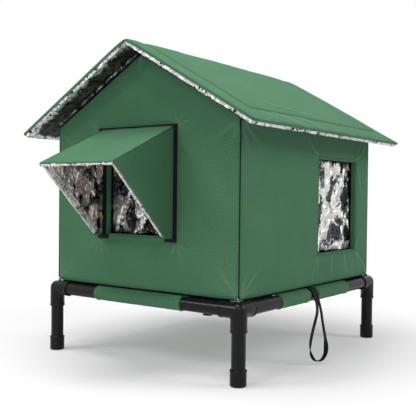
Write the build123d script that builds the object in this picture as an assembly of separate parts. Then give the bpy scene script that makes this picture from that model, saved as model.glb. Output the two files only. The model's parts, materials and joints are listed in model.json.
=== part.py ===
from build123d import *
import math
import os

# A raised outdoor cat house: a foil-lined fabric house with a pitched roof, on a stand of
# plastic pipe. Millimetres. X runs along the front, +Y goes into the house, +Z is up.
# The origin is on the floor under the middle of the object's box.

# House walls and floor
body_width = 455.0
body_depth = 530.0
wall_clear = 3.0  # from the top of the deck's sleeves up to the walls
cover = 2.0  # the outer fabric with its turned seams
wall_foam = 8.0  # foil-faced foam inside the fabric
floor_foam = 12.0
piping = 2.5  # bead sewn into each upright corner

# Roof, measured on its outside
ridge_height = 613.0
eave_height = 449.0
eave_half_width = 283.0
overhang_front = 45.0
overhang_back = 30.0
roof_foam = 16.0
roof_foil = 2.0
brim = 12.0  # thickness of the roof's edge outside the foam boards
board_proud = 4.0  # how far a board reaches past the outside of the walls
board_inset = 1.5  # foil round the edges of a board
ridge_gap = 0.3
hook_tape = 1.0
loop_tape = 1.0
tape_gap = 0.4

# Stand of pipe
pipe = 25.0
pipe_wall = 2.0
fitting = 29.0
rail_height = 129.0
elbow_arm = 38.0
elbow_web = 9.0
web_thickness = 4.0
pipe_end_gap = 1.0  # how far a pipe's end stays from the pipes across it
socket_clear = 0.05
fitting_edge = 1.2
cap_height = 29.0
cap_base = 4.0
cap_edge = 3.0
cut_past = 1.0  # how far a bore's cutting shape runs past the mouth

# Deck cloth stretched over the stand
deck_cloth = 0.8
sleeve = 1.4
sleeve_clear = 0.1
deck_drop = 0.3  # the cloth's top below the top of its sleeves
corner_cut_front = 120.0
corner_cut_side = 125.0
notch_from_front = 234.0
notch_width = 32.0

# Doorway and side opening
door_centre = -8.0
door_width = 156.0
door_bottom = 246.0
door_top = 440.0
side_from_back = 72.0
side_width = 176.0
side_bottom = 206.0
side_top = 402.0
binding = 2.0
binding_proud = 0.6

# Foil flaps that hang inside the two openings
flap_cloth = 1.2
flap_clear = 1.5
flap_behind = 2.5  # from the inside of a wall to the middle of a flap
hem_radius = 1.5
hem_gap = 0.3
header_height = 14.0
header_thickness = 3.0
fold_depth_top = 0.3
fold_depth_bottom = 2.4
door_folds = 5
side_folds = 6

# Awning over the doorway
awning_left = -98.0
awning_right = 80.0
awning_out = 157.0
awning_top = 450.0
awning_lip = 380.0
awning_bottom = 245.0
awning_foot = 22.0  # bottom edge of a side panel
awning_cloth = 2.0
awning_foil = 1.2
awning_gap = 0.3
tape_thickness = 1.2
tape_width = 20.0
tape_rise_top = 1.5  # the top tape's edges above and below the awning's top
tape_fall_top = 3.0
tape_end_low = 238.0
tape_end_high = 246.0
tape_end_length = 7.0

# Tie strap that hangs over the right-hand rail
strap_width = 9.0
strap_thickness = 1.8
strap_apart = 0.6
strap_rail_gap = 0.1
strap_leaves_at = 20.0  # degrees above the level, where it leaves the rail
strap_free_end = 11.3
strap_middle_from_front = 250.0
bend_share = 0.45  # of the shorter run beside a bend, taken up by the bend

# Worked out from the sizes above
object_depth = awning_out + body_depth + overhang_back
front = awning_out - object_depth / 2
back = front + body_depth
right = body_width / 2
wall = cover + wall_foam
slope = math.atan2(ridge_height - eave_height, eave_half_width)
slope_length = eave_half_width / math.cos(slope)
roof_thickness = cover + roof_foam + roof_foil
roof_gap = hook_tape + tape_gap + loop_tape
pipe_radius = pipe / 2
fitting_radius = fitting / 2
socket_radius = pipe_radius + socket_clear
sleeve_inner = pipe_radius + sleeve_clear
sleeve_outer = sleeve_inner + sleeve
socket_stop = pipe_radius + pipe_end_gap
wall_bottom = rail_height + sleeve_outer + wall_clear
deck_top = rail_height + sleeve_outer - deck_drop
floor_top = deck_top + cover + floor_foam
board_front = front - board_proud
board_back = back + board_proud
board_side = right + board_proud
door_left = door_centre - door_width / 2
door_right = door_centre + door_width / 2
side_far = back - side_from_back
side_near = side_far - side_width
notch_near = front + notch_from_front
notch_far = notch_near + notch_width


# Shapes used by several pieces
def block(x0, x1, y0, y1, z0, z1):
    middle = ((x0 + x1) / 2, (y0 + y1) / 2, (z0 + z1) / 2)
    return Pos(middle) * Box(x1 - x0, y1 - y0, z1 - z0)


def along_y(points, y0, y1):
    """A prism whose outline is given by x and z, from y0 to y1."""
    outline = Polyline([(x, y0, z) for x, z in points], close=True)
    return extrude(make_face(outline), amount=y1 - y0, dir=(0, 1, 0))


def along_x(points, x0, x1):
    """A prism whose outline is given by y and z, from x0 to x1."""
    outline = Polyline([(x0, y, z) for y, z in points], close=True)
    return extrude(make_face(outline), amount=x1 - x0, dir=(1, 0, 0))


def rod(start, end, radius):
    line = Vector(*end) - Vector(*start)
    lower_end = (Align.CENTER, Align.CENTER, Align.MIN)
    return Plane(origin=start, z_dir=line) * Cylinder(radius, line.length, align=lower_end)


def save(name, shape):
    export_step(shape, f"parts/{name}.step")


# Roof lines: how high a layer of the roof lies, and where a point of a slope is
def roof_line(x, depth):
    """Height at x of the surface that lies depth below the outside of the roof."""
    return ridge_height - abs(x) * math.tan(slope) - depth / math.cos(slope)


def on_slope(run, depth):
    """Point of the right-hand slope, run down it from the ridge and depth below its outside."""
    x = run * math.cos(slope) - depth * math.sin(slope)
    z = ridge_height - run * math.sin(slope) - depth * math.cos(slope)
    return x, z


def slope_layer(top, bottom, start, end, y0, y1):
    """Layer of the right-hand slope, cut upright at x = start and square to the slope at end."""
    outline = [
        (start, roof_line(start, top)),
        on_slope(end, top),
        on_slope(end, bottom),
        (start, roof_line(start, bottom)),
    ]
    return along_y(outline, y0, y1)


def wall_top(x):
    return roof_line(x, roof_thickness + roof_gap)


# Walls
def gable(half_width, y0, y1):
    outline = [
        (-half_width, wall_bottom),
        (half_width, wall_bottom),
        (half_width, wall_top(half_width)),
        (0, wall_top(0)),
        (-half_width, wall_top(half_width)),
    ]
    return along_y(outline, y0, y1)


def side_wall(x0, x1, y0, y1):
    outline = [(x0, wall_bottom), (x1, wall_bottom), (x1, wall_top(x1)), (x0, wall_top(x0))]
    return along_y(outline, y0, y1)


def doorway(grow=0.0):
    return block(
        door_left - grow,
        door_right + grow,
        front - wall,
        front + 2 * wall,
        door_bottom - grow,
        door_top + grow,
    )


def side_opening(grow=0.0):
    return block(
        right - 2 * wall,
        right + wall,
        side_near - grow,
        side_far + grow,
        side_bottom - grow,
        side_top + grow,
    )


def make_walls():
    save("front_cover", gable(right - piping, front, front + cover) - doorway())
    save("back_cover", gable(right - piping, back - cover, back))
    save("front_lining", gable(right - piping, front + cover, front + wall) - doorway())
    save("back_lining", gable(right - piping, back - wall, back - cover))
    side_cover = side_wall(right - cover, right, front + piping, back - piping)
    side_lining = side_wall(right - wall, right - cover, front + wall, back - wall)
    save("right_cover", side_cover - side_opening())
    save("right_lining", side_lining - side_opening())
    save("left_cover", mirror(side_cover, about=Plane.YZ))
    save("left_lining", mirror(side_lining, about=Plane.YZ))


def make_corner_piping():
    beads = []
    for y0 in (front, back - piping):
        bead = side_wall(right - piping, right, y0, y0 + piping)
        outer_y = front if y0 == front else back
        corner = (right, outer_y, wall_bottom)
        edge = bead.edges().filter_by(Axis.Z).sort_by_distance(corner)[0]
        bead = fillet(edge, piping / 2)
        beads += [bead, mirror(bead, about=Plane.YZ)]
    save("corner_piping", Compound(beads))


def make_floor():
    x = right - wall
    save("floor_cover", block(-x, x, front + wall, back - wall, deck_top, deck_top + cover))
    save("floor_board", block(-x, x, front + wall, back - wall, deck_top + cover, floor_top))


def make_bindings():
    inner_door = doorway(-binding)
    door_ring = block(
        door_left,
        door_right,
        front - binding_proud,
        front + wall,
        door_bottom,
        door_top,
    )
    save("door_binding", door_ring - inner_door)
    inner_side = side_opening(-binding)
    side_ring = block(
        right - wall,
        right + binding_proud,
        side_near,
        side_far,
        side_bottom,
        side_top,
    )
    save("side_opening_binding", side_ring - inner_side)


# Foil flaps
def fold_outline(width, folds, depth, z):
    """Wavy strip seen from above: arcs that bulge forward and back in turn."""
    step = width / folds
    face_lines = []
    for y in (-flap_cloth / 2, flap_cloth / 2):
        for fold in range(folds):
            x0 = -width / 2 + fold * step
            bulge = depth if fold % 2 else -depth
            middle = (x0 + step / 2, y + bulge, z)
            face_lines.append(ThreePointArc((x0, y, z), middle, (x0 + step, y, z)))
    for x in (-width / 2, width / 2):
        face_lines.append(Line((x, -flap_cloth / 2, z), (x, flap_cloth / 2, z)))
    return make_face(face_lines)


def hanging_flap(width, height, folds):
    """Flap that hangs from a round hem along X at the origin, its folds deepest at the bottom."""
    top = fold_outline(width, folds, fold_depth_top, 0)
    bottom = fold_outline(width, folds, fold_depth_bottom, -height)
    hem = rod((-width / 2, 0, 0), (width / 2, 0, 0), hem_radius)
    return loft([top, bottom], ruled=True) + hem


def make_flaps():
    hem_drop = binding + hem_gap + hem_radius
    flap_y = front + wall + flap_behind
    hinge_z = door_top - hem_drop
    width = door_width - 2 * (binding + flap_clear)
    height = hinge_z - door_bottom - binding - flap_clear
    flap = hanging_flap(width, height, door_folds)
    save("door_flap", Pos(door_centre, flap_y, hinge_z) * flap)
    header_z = hinge_z + hem_radius + hem_gap
    header_y = front + wall + header_thickness
    x0 = door_centre - width / 2
    header = block(x0, x0 + width, front + wall, header_y, header_z, header_z + header_height)
    save("door_header", header)
    print("door hinge", door_centre, flap_y, hinge_z)

    flap_x = right - wall - flap_behind
    hinge_z = side_top - hem_drop
    width = side_width - 2 * (binding + flap_clear)
    height = hinge_z - side_bottom - binding - flap_clear
    flap = Rot(0, 0, 90) * hanging_flap(width, height, side_folds)
    middle = side_near + side_width / 2
    save("side_flap", Pos(flap_x, middle, hinge_z) * flap)
    header_z = hinge_z + hem_radius + hem_gap
    header_x = right - wall - header_thickness
    y0 = middle - width / 2
    header = block(header_x, right - wall, y0, y0 + width, header_z, header_z + header_height)
    save("side_header", header)
    print("side hinge", flap_x, middle, hinge_z)


# Awning: its profile is in the YZ plane, seen from the right
def make_awning():
    hinge_y = front - tape_thickness - awning_gap
    lip_y = front - awning_out
    pitch = math.atan2(awning_top - awning_lip, hinge_y - lip_y)

    def at_wall(depth):
        return hinge_y, awning_top - depth / math.cos(pitch)

    def at_lip(depth):
        return lip_y + depth * math.sin(pitch), awning_lip - depth * math.cos(pitch)

    def side_outline(depth):
        foot = (front - awning_foot, awning_bottom)
        return [at_wall(depth), at_lip(depth), foot, (hinge_y, awning_bottom)]

    top = [at_wall(0), at_lip(0), at_lip(awning_cloth), at_wall(awning_cloth)]
    left_outer = awning_left - awning_cloth
    right_outer = awning_right + awning_cloth
    side = side_outline(awning_cloth)
    save("awning_top", along_x(top, left_outer, right_outer))
    save("awning_side_left", along_x(side, left_outer, awning_left))
    save("awning_side_right", along_x(side, awning_right, right_outer))

    foil_depth = awning_cloth + awning_foil
    top_foil = [at_wall(awning_cloth), at_lip(awning_cloth), at_lip(foil_depth), at_wall(foil_depth)]
    side_foil = side_outline(foil_depth)
    lining = along_x(top_foil, awning_left, awning_right)
    lining += along_x(side_foil, awning_left, awning_left + awning_foil)
    lining += along_x(side_foil, awning_right - awning_foil, awning_right)
    save("awning_lining", lining)
    print("awning hinge", hinge_y, awning_top)


def make_awning_tapes():
    """Tapes that bind the awning to the wall, their lower ends turned in under it."""
    y0 = front - tape_thickness
    high = awning_top - tape_fall_top
    x0 = awning_left - tape_width / 2
    x1 = awning_right + tape_width / 2
    save("awning_tape_top", block(x0, x1, y0, front, high, awning_top + tape_rise_top))
    reach = tape_width + tape_end_length
    left_tape = block(x0, x0 + tape_width, y0, front, tape_end_low, high)
    left_tape += block(x0, x0 + reach, y0, front, tape_end_low, tape_end_high)
    save("awning_tape_left", left_tape - doorway())
    right_tape = block(x1 - tape_width, x1, y0, front, tape_end_low, high)
    right_tape += block(x1 - reach, x1, y0, front, tape_end_low, tape_end_high)
    save("awning_tape_right", right_tape - doorway())


# Roof
def make_roof():
    y0 = front - overhang_front
    y1 = back + overhang_back
    start = ridge_gap / 2
    pad_end = board_side / math.cos(slope)
    board_start = start + board_inset
    board_end = pad_end - board_inset
    board_y0 = board_front + board_inset
    board_y1 = board_back - board_inset

    roof_cover = slope_layer(0, cover, start, slope_length, y0, y1)
    board_bottom = cover + roof_foam
    board = slope_layer(cover, board_bottom, board_start, board_end, board_y0, board_y1)
    edge_foil = slope_layer(cover, brim, start, slope_length, y0, y1)
    pad_foil = slope_layer(brim, roof_thickness, start, pad_end, board_front, board_back)
    lining = edge_foil + pad_foil - board
    for name, shape in (("cover", roof_cover), ("board", board), ("lining", lining)):
        save(f"roof_{name}_right", shape)
        save(f"roof_{name}_left", mirror(shape, about=Plane.YZ))


def gable_tape(depth, thickness, end):
    """Strips along the slopes over the front and back walls, on the right-hand side."""
    strips = []
    for y0 in (front, back - wall):
        strip = slope_layer(depth, depth + thickness, ridge_gap / 2, end, y0, y0 + wall)
        strips.append(strip)
    return strips


def eave_tape(depth, thickness):
    """Strip along the top of the right-hand wall."""
    run_outer = right / math.cos(slope)
    run_inner = (right - wall) / math.cos(slope)
    outline = [
        on_slope(run_inner, depth),
        on_slope(run_outer, depth),
        on_slope(run_outer, depth + thickness),
        on_slope(run_inner, depth + thickness),
    ]
    return along_y(outline, front + wall + tape_gap, back - wall - tape_gap)


def make_roof_tapes():
    loops = roof_thickness
    hooks = roof_thickness + roof_gap - hook_tape
    tape_end = (right - wall) / math.cos(slope)
    roof_side = gable_tape(loops, loop_tape, tape_end) + [eave_tape(loops, loop_tape)]
    save("roof_loop_tape_right", Compound(roof_side))
    save("roof_loop_tape_left", Compound([mirror(s, about=Plane.YZ) for s in roof_side]))
    on_gables = gable_tape(hooks, hook_tape, tape_end)
    save("gable_hook_tape", Compound(on_gables + [mirror(s, about=Plane.YZ) for s in on_gables]))
    on_eave = eave_tape(hooks, hook_tape)
    save("eave_hook_tape", Compound([on_eave, mirror(on_eave, about=Plane.YZ)]))


# Stand
def socket(start, end):
    """Outside of one arm of an elbow, with its mouth rounded."""
    arm = rod(start, end, fitting_radius)
    mouth = arm.edges().filter_by(GeomType.CIRCLE).sort_by_distance(Vector(*end))[0]
    return fillet(mouth, fitting_edge)


def web_face(corner, across):
    """Web in the angle under a level arm, its free edge an arc."""
    inner = fitting_radius - fitting_edge
    outer = fitting_radius + elbow_web
    reach = outer - (outer - inner) * math.sqrt(0.5)

    def at(side, drop):
        place = Vector(*corner) + Vector(*across) * side
        return place + Vector(0, 0, -drop)

    free_edge = ThreePointArc(at(outer, inner), at(reach, reach), at(inner, outer))
    sides = Polyline(at(inner, outer), at(inner, inner), at(outer, inner))
    return make_face([*free_edge.edges(), *sides.edges()])


def elbow(x, y, inward_x, inward_y):
    corner = (x, y, rail_height)
    ends = [
        (x + inward_x * elbow_arm, y, rail_height),
        (x, y + inward_y * elbow_arm, rail_height),
        (x, y, rail_height - elbow_arm),
    ]
    body = Pos(corner) * Sphere(fitting_radius)
    for end in ends:
        body += socket(corner, end)
    for across in ((inward_x, 0, 0), (0, inward_y, 0)):
        web = extrude(web_face(corner, across), amount=web_thickness / 2, both=True)
        body += web
    for end in ends:
        out = (Vector(*end) - Vector(*corner)).normalized()
        stop = Vector(*corner) + out * socket_stop
        body -= rod(stop, Vector(*end) + out * cut_past, socket_radius)
    return body


def pipe_length(start, end):
    return rod(start, end, pipe_radius) - rod(start, end, pipe_radius - pipe_wall)


def foot_cap(x, y):
    cap = rod((x, y, 0), (x, y, cap_height), fitting_radius)
    rim = cap.edges().filter_by(GeomType.CIRCLE).sort_by(Axis.Z)
    cap = fillet(rim[0], cap_edge)
    top = cap.edges().filter_by(GeomType.CIRCLE).sort_by(Axis.Z)[-1]
    cap = fillet(top, fitting_edge)
    return cap - rod((x, y, cap_base), (x, y, cap_height + cut_past), socket_radius)


def make_stand():
    for end_name, y, inward_y in (("front", front, 1), ("rear", back, -1)):
        for side_name, x, inward_x in (("left", -right, 1), ("right", right, -1)):
            name = f"{end_name}_{side_name}"
            leg_top = rail_height - socket_stop
            save(f"leg_{name}", pipe_length((x, y, cap_base), (x, y, leg_top)))
            save(f"foot_cap_{name}", foot_cap(x, y))
            save(f"elbow_{name}", elbow(x, y, inward_x, inward_y))
        x = right - socket_stop
        save(f"rail_{end_name}", pipe_length((-x, y, rail_height), (x, y, rail_height)))
    for side_name, x in (("left", -right), ("right", right)):
        y0 = front + socket_stop
        y1 = back - socket_stop
        save(f"rail_{side_name}", pipe_length((x, y0, rail_height), (x, y1, rail_height)))


def make_deck():
    x = right
    cut_x = right - corner_cut_front
    near = front + corner_cut_side
    far = back - corner_cut_side
    outline = [
        (-cut_x, front),
        (cut_x, front),
        (x, near),
        (x, far),
        (cut_x, back),
        (-cut_x, back),
        (-x, far),
        (-x, near),
    ]
    low = deck_top - deck_cloth
    sheet_line = Polyline([(px, py, low) for px, py in outline], close=True)
    cloth = extrude(make_face(sheet_line), amount=deck_cloth, dir=(0, 0, 1))
    sleeves = [
        ((-cut_x, front, rail_height), (cut_x, front, rail_height)),
        ((-cut_x, back, rail_height), (cut_x, back, rail_height)),
        ((-x, near, rail_height), (-x, far, rail_height)),
        ((x, near, rail_height), (x, far, rail_height)),
    ]
    for start, end in sleeves:
        cloth += rod(start, end, sleeve_outer)
    for start, end in sleeves:
        cloth -= rod(start, end, sleeve_inner)
    notch_in = right - sleeve_outer - strap_rail_gap
    notch = block(
        notch_in,
        right + fitting,
        notch_near,
        notch_far,
        rail_height - fitting,
        rail_height + fitting,
    )
    save("deck_cloth", cloth - notch)


# Tie strap: two flat ends over the rail, then one free loop
strap_arc = pipe_radius + strap_rail_gap + strap_thickness / 2
leave = math.radians(strap_leaves_at)
exit_x = right + strap_arc * math.cos(leave) + strap_free_end * math.sin(leave)
exit_z = rail_height + strap_arc * math.sin(leave) - strap_free_end * math.cos(leave)
strap_middle = front + strap_middle_from_front
strand = (strap_width + strap_apart) / 2


def strap_end(y0):
    """One flat end, from the edge of the floor over the rail and a little way down."""
    top = Vector(right, y0, rail_height + strap_arc)
    line_in = Line(top - Vector(wall, 0, 0), top)
    over = (90 - strap_leaves_at) / 2
    halfway = math.radians(90 - over)
    middle = Vector(
        right + strap_arc * math.cos(halfway),
        y0,
        rail_height + strap_arc * math.sin(halfway),
    )
    leaves = Vector(
        right + strap_arc * math.cos(leave),
        y0,
        rail_height + strap_arc * math.sin(leave),
    )
    path = Wire([
        *line_in.edges(),
        *ThreePointArc(top, middle, leaves).edges(),
        *Line(leaves, Vector(exit_x, y0, exit_z)).edges(),
    ])
    section = Plane(path.position_at(0), x_dir=(0, 1, 0), z_dir=(1, 0, 0))
    return sweep(section * Rectangle(strap_width, strap_thickness), path=path)


def make_strap():
    strands = [strap_end(strap_middle - strand), strap_end(strap_middle + strand)]
    save("tie_strap_ends", Compound(strands))

    # Points of the free loop: x from the exit, y from the strap's middle, height above the floor
    second_x = 6.8
    second_z = exit_z - second_x / math.tan(leave)
    route = [
        (0.0, -strand, exit_z),
        (second_x, -strand, second_z),
        (4.5, -16.5, 75.0),
        (4.0, -30.5, 46.0),
        (6.3, -37.0, 24.0),
        (13.5, -31.5, 6.0),
        (21.5, -15.5, 6.0),
        (24.3, -3.0, 21.0),
        (20.0, 1.0, 46.0),
        (13.0, 1.8, 75.0),
        (second_x, strand, second_z),
        (0.0, strand, exit_z),
    ]
    points = [Vector(exit_x + x, strap_middle + y, z) for x, y, z in route]
    radii = []
    for before, here, after in zip(points, points[1:], points[2:]):
        turn = math.radians((here - before).get_angle(after - here))
        shorter = min((here - before).length, (after - here).length)
        radii.append(bend_share * shorter / math.tan(turn / 2))
    path = FilletPolyline(*points, radius=radii)
    start = Plane(origin=points[0], z_dir=points[1] - points[0])
    loop = sweep(start * Circle(strap_width / 2), path=path)
    save("tie_loop", loop)
    area = math.pi * (strap_width / 2) ** 2
    print("strap exit", points[0], "far end", points[-1])
    print("strap loop length", path.length, "volume over area", loop.volume / area)
    print("strap loop radii", [round(radius, 1) for radius in radii])


os.makedirs("parts", exist_ok=True)
make_stand()
make_deck()
make_floor()
make_walls()
make_corner_piping()
make_bindings()
make_flaps()
make_awning()
make_awning_tapes()
make_roof()
make_roof_tapes()
make_strap()
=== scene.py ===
import json
import math

import bmesh
import bpy
import numpy as np
from bpy.props import FloatProperty, FloatVectorProperty, IntProperty, PointerProperty
from mathutils import Matrix, Vector


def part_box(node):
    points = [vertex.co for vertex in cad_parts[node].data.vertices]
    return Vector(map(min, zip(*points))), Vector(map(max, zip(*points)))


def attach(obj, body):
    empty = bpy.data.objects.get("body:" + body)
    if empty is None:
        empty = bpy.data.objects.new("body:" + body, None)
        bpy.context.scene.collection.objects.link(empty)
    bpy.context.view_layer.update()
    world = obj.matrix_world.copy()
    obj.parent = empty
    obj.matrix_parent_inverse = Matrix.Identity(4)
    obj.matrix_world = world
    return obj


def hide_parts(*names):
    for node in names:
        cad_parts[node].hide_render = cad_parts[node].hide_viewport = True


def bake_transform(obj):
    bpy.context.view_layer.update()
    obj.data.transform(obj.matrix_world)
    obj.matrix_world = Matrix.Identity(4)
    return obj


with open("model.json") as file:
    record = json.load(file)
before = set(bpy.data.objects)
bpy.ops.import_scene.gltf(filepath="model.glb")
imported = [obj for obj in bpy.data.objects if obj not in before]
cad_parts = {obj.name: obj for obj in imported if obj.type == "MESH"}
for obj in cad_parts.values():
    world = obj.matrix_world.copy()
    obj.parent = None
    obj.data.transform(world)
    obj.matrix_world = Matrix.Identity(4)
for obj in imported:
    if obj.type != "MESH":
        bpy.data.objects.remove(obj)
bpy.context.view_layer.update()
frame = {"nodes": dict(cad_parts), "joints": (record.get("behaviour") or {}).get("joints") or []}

bl_info = {
    "name": "Raised Cat House",
    "version": (1, 0, 0),
    "blender": (4, 5, 0),
    "location": "View3D > Sidebar > Cat House",
    "description": "Cloth, foil, straps, stand finish and stage of a raised outdoor cat house",
    "category": "Object",
}

# Places that the frame gives, in metres


def low(node):
    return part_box(node)[0]


def high(node):
    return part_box(node)[1]


front = low("front_cover").y
back = high("back_cover").y
right = high("right_cover").x
wall_bottom = low("front_cover").z
gable_top = high("front_cover").z
cover = high("front_cover").y - front
wall = high("front_lining").y - front
ridge = high("roof_cover_right").z
eave_out = high("roof_cover_right").x
roof_front = low("roof_cover_right").y
roof_back = high("roof_cover_right").y
eave_height = max(frame["nodes"]["roof_cover_right"].data.vertices, key=lambda v: v.co.x).co.z
slope = math.atan2(ridge - eave_height, eave_out)
rail_height = (low("rail_front").z + high("rail_front").z) / 2
pipe_radius = (high("rail_front").z - low("rail_front").z) / 2
door_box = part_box("door_binding")
side_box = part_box("side_opening_binding")
side_low, side_high = side_box
awning_low, awning_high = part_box("awning_top")
awning_foot = low("awning_side_right").z
ROOF_SIDES = (("left", -1, "roof"), ("right", 1, "roof_flap"))
CORNERS = [(sx, y, inward) for sx in (-1, 1) for y, inward in ((front, 1), (back, -1))]
TAU = 2 * math.pi
MM = 0.001


def wall_top(x):
    """Height of the top of the gables at x, and of the side walls at their own x."""
    return gable_top - np.abs(x) * math.tan(slope)


# Settings that a user would change


def length(name, description, default, **limits):
    return FloatProperty(name=name, description=description, default=default, unit="LENGTH", **limits)


def turn(name, description, degrees):
    default = math.radians(degrees)
    return FloatProperty(name=name, description=description, default=default, subtype="ANGLE")


def tint(name, description, default):
    return FloatVectorProperty(
        name=name, description=description, default=default, subtype="COLOR", size=3, min=0, max=1
    )


class CatHouseSizes(bpy.types.PropertyGroup):
    cloth_step: length("Cloth step", "Spacing of the points of cloth and foil", 0.0035, min=0.002)
    seam: length("Corner seam", "How far the cloth turns in at an upright corner", 0.0028)
    corner_round: length("Bottom corner", "Radius of the rounded bottom corners of the walls", 0.008)
    bulge: length("Wall bulge", "How far the padded walls swell outwards", 0.002)
    ridge_round: length("Ridge rounding", "Half width of the soft bend of the cloth at the ridge", 0.008)
    brim: length("Brim thickness", "Thickness of the roof outside its foam boards", 0.012)
    crease_in: length("Crease distance", "From the roof's edges to its stitched creases", 0.047)
    crumple: length("Foil crumple", "Height of the facets of the crumpled foil", 0.0016)
    strap_width: length("Strap width", "Width of the flat tie strap", 0.009)
    strap_thickness: length("Strap thickness", "Thickness of the flat tie strap", 0.0016)
    stitch_length: length("Stitch length", "Length of one stitch", 0.0028)
    stitch_spacing: length("Stitch spacing", "Distance from one stitch to the next", 0.004)
    seed: IntProperty(
        name="Seed", description="Seed of the wrinkles and of the crumpled foil", default=7
    )


class CatHouseColours(bpy.types.PropertyGroup):
    cloth: tint("Cloth", "Colour of the outer fabric", (0.068, 0.188, 0.100))
    foil: tint("Foil", "Colour of the bright facets of the foil", (0.92, 0.91, 0.90))
    plastic: tint("Plastic", "Colour of the pipes and fittings", (0.007, 0.007, 0.0075))
    webbing: tint("Webbing", "Colour of the tapes and the strap", (0.007, 0.007, 0.008))


class CatHouseCamera(bpy.types.PropertyGroup):
    place: FloatVectorProperty(
        name="Place",
        description="Where the camera stands",
        subtype="XYZ",
        unit="LENGTH",
        size=3,
        default=(0.88397, -1.18251, 0.32616),
    )
    yaw: turn("Yaw", "Turn of the camera from the +Y direction towards -X", 36.432)
    pitch: turn("Pitch", "Tilt of the camera above the horizon", -1.132)
    roll: turn("Roll", "Turn of the camera about its own line of sight", 0.625)
    lens: FloatProperty(
        name="Lens", description="Focal length in millimetres on a sensor 36 mm wide", default=60.32
    )


# Shader helpers


class Value:
    """The output of a shader node. Sums and products of values add Math nodes to its tree."""

    def __init__(self, socket):
        self.socket = socket

    def __add__(self, other):
        return calc("ADD", self, other)

    def __sub__(self, other):
        return calc("SUBTRACT", self, other)

    def __rsub__(self, other):
        return calc("SUBTRACT", other, self)

    def __mul__(self, other):
        return calc("MULTIPLY", self, other)

    def __truediv__(self, other):
        return calc("DIVIDE", self, other)

    def __rtruediv__(self, other):
        return calc("DIVIDE", other, self)


def feed(socket, value):
    """Gives a socket another node's output, or a plain value."""
    if isinstance(value, Value):
        socket.id_data.links.new(value.socket, socket)
    else:
        socket.default_value = value


def node_for(kind, *values):
    """A new node in the tree that the values are in."""
    tree = next(value.socket.id_data for value in values if isinstance(value, Value))
    return tree.nodes.new(kind)


def fill(made, values):
    for socket, value in zip(made.inputs, values):
        feed(socket, value)


def calc(operation, *values, clamp=False):
    made = node_for("ShaderNodeMath", *values)
    made.operation = operation
    made.use_clamp = clamp
    fill(made, values)
    return Value(made.outputs[0])


def vector_calc(operation, *values):
    made = node_for("ShaderNodeVectorMath", *values)
    made.operation = operation
    fill(made, values)
    return Value(made.outputs["Value" if operation in ("DOT_PRODUCT", "LENGTH") else "Vector"])


def scaled(vector, amount):
    made = node_for("ShaderNodeVectorMath", vector)
    made.operation = "SCALE"
    feed(made.inputs[0], vector)
    feed(made.inputs["Scale"], amount)
    return Value(made.outputs[0])


def texture(kind, vector, scale, **settings):
    """The outputs of a noise or cell texture, by name."""
    made = node_for(kind, vector)
    feed(made.inputs["Vector"], vector)
    feed(made.inputs["Scale"], scale)
    for label, value in settings.items():
        made.inputs[label].default_value = value
    return {socket.name: Value(socket) for socket in made.outputs}


def noise(vector, scale, detail):
    found = texture("ShaderNodeTexNoise", vector, scale, Detail=detail)
    return list(found.values())


def split(kind, vector):
    made = node_for(kind, vector)
    feed(made.inputs[0], vector)
    return [Value(socket) for socket in made.outputs]


def mixed(factor, first, second):
    made = node_for("ShaderNodeMix", factor)
    made.data_type = "RGBA"
    colour_in = [socket for socket in made.inputs if socket.type == "RGBA"]
    feed(made.inputs["Factor"], factor)
    feed(colour_in[0], first)
    feed(colour_in[1], second)
    return Value(next(socket for socket in made.outputs if socket.type == "RGBA"))


def ramped(value, low_in, high_in, low_out=0.0, high_out=1.0):
    made = node_for("ShaderNodeMapRange", value)
    fill(made, (value, low_in, high_in, low_out, high_out))
    return Value(made.outputs[0])


KINDS = {"colour": "NodeSocketColor", "vector": "NodeSocketVector", "number": "NodeSocketFloat"}


def shader_group(name, inputs):
    """An empty surface group, the values of its inputs by name, and its output sockets."""
    tree = bpy.data.node_groups.new(name, "ShaderNodeTree")
    for label, kind, default in (("Place", "vector", (0, 0, 0)), *inputs):
        socket = tree.interface.new_socket(label, in_out="INPUT", socket_type=KINDS[kind])
        socket.default_value = default
    for label, kind in (("Colour", "colour"), ("Roughness", "number"), ("Height", "number")):
        tree.interface.new_socket(label, in_out="OUTPUT", socket_type=KINDS[kind])
    start = {socket.name: Value(socket) for socket in tree.nodes.new("NodeGroupInput").outputs}
    return tree, start, tree.nodes.new("NodeGroupOutput").inputs


def woven_cloth_group():
    """Matte woven cloth: threads and mottling, with a painted highlight on fold ridges and painted shade
    in creases.
    """
    tree, start, end = shader_group(
        "woven cloth",
        (
            ("Base", "colour", (0.07, 0.19, 0.1, 1)),
            ("Thread", "number", 0.0009),
            ("Mottle", "number", 0.10),
            ("Fold", "number", 0.0),
        ),
    )
    parts = split("ShaderNodeSeparateXYZ", start["Place"])
    waves = [calc("SINE", part / start["Thread"] * TAU) for part in parts[:2]]
    grain = noise(start["Place"], 420.0, 3.0)[0]
    patches = noise(start["Place"], 9.0, 3.0)[0]
    tone = (grain - 0.5) * start["Mottle"] * 3.0 + (patches - 0.5) * start["Mottle"]
    # Painted highlight and painted shade: the fold shading mark lifts ridges towards the light green and
    # sinks creases towards the near-black green, the same two colours that carry the cloth's own mottling
    tone = tone + start["Fold"] * 0.16
    colour = mixed(ramped(tone, 0.0, 0.5), start["Base"], (0.30, 0.52, 0.36, 1))
    colour = mixed(ramped(tone, 0.0, -0.5), colour, (0.006, 0.022, 0.012, 1))
    feed(end["Colour"], colour)
    feed(end["Roughness"], ramped(grain, 0.3, 0.7, 0.78, 0.92))
    feed(end["Height"], waves[0] * waves[1] * 0.25 + grain)
    return tree


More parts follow.
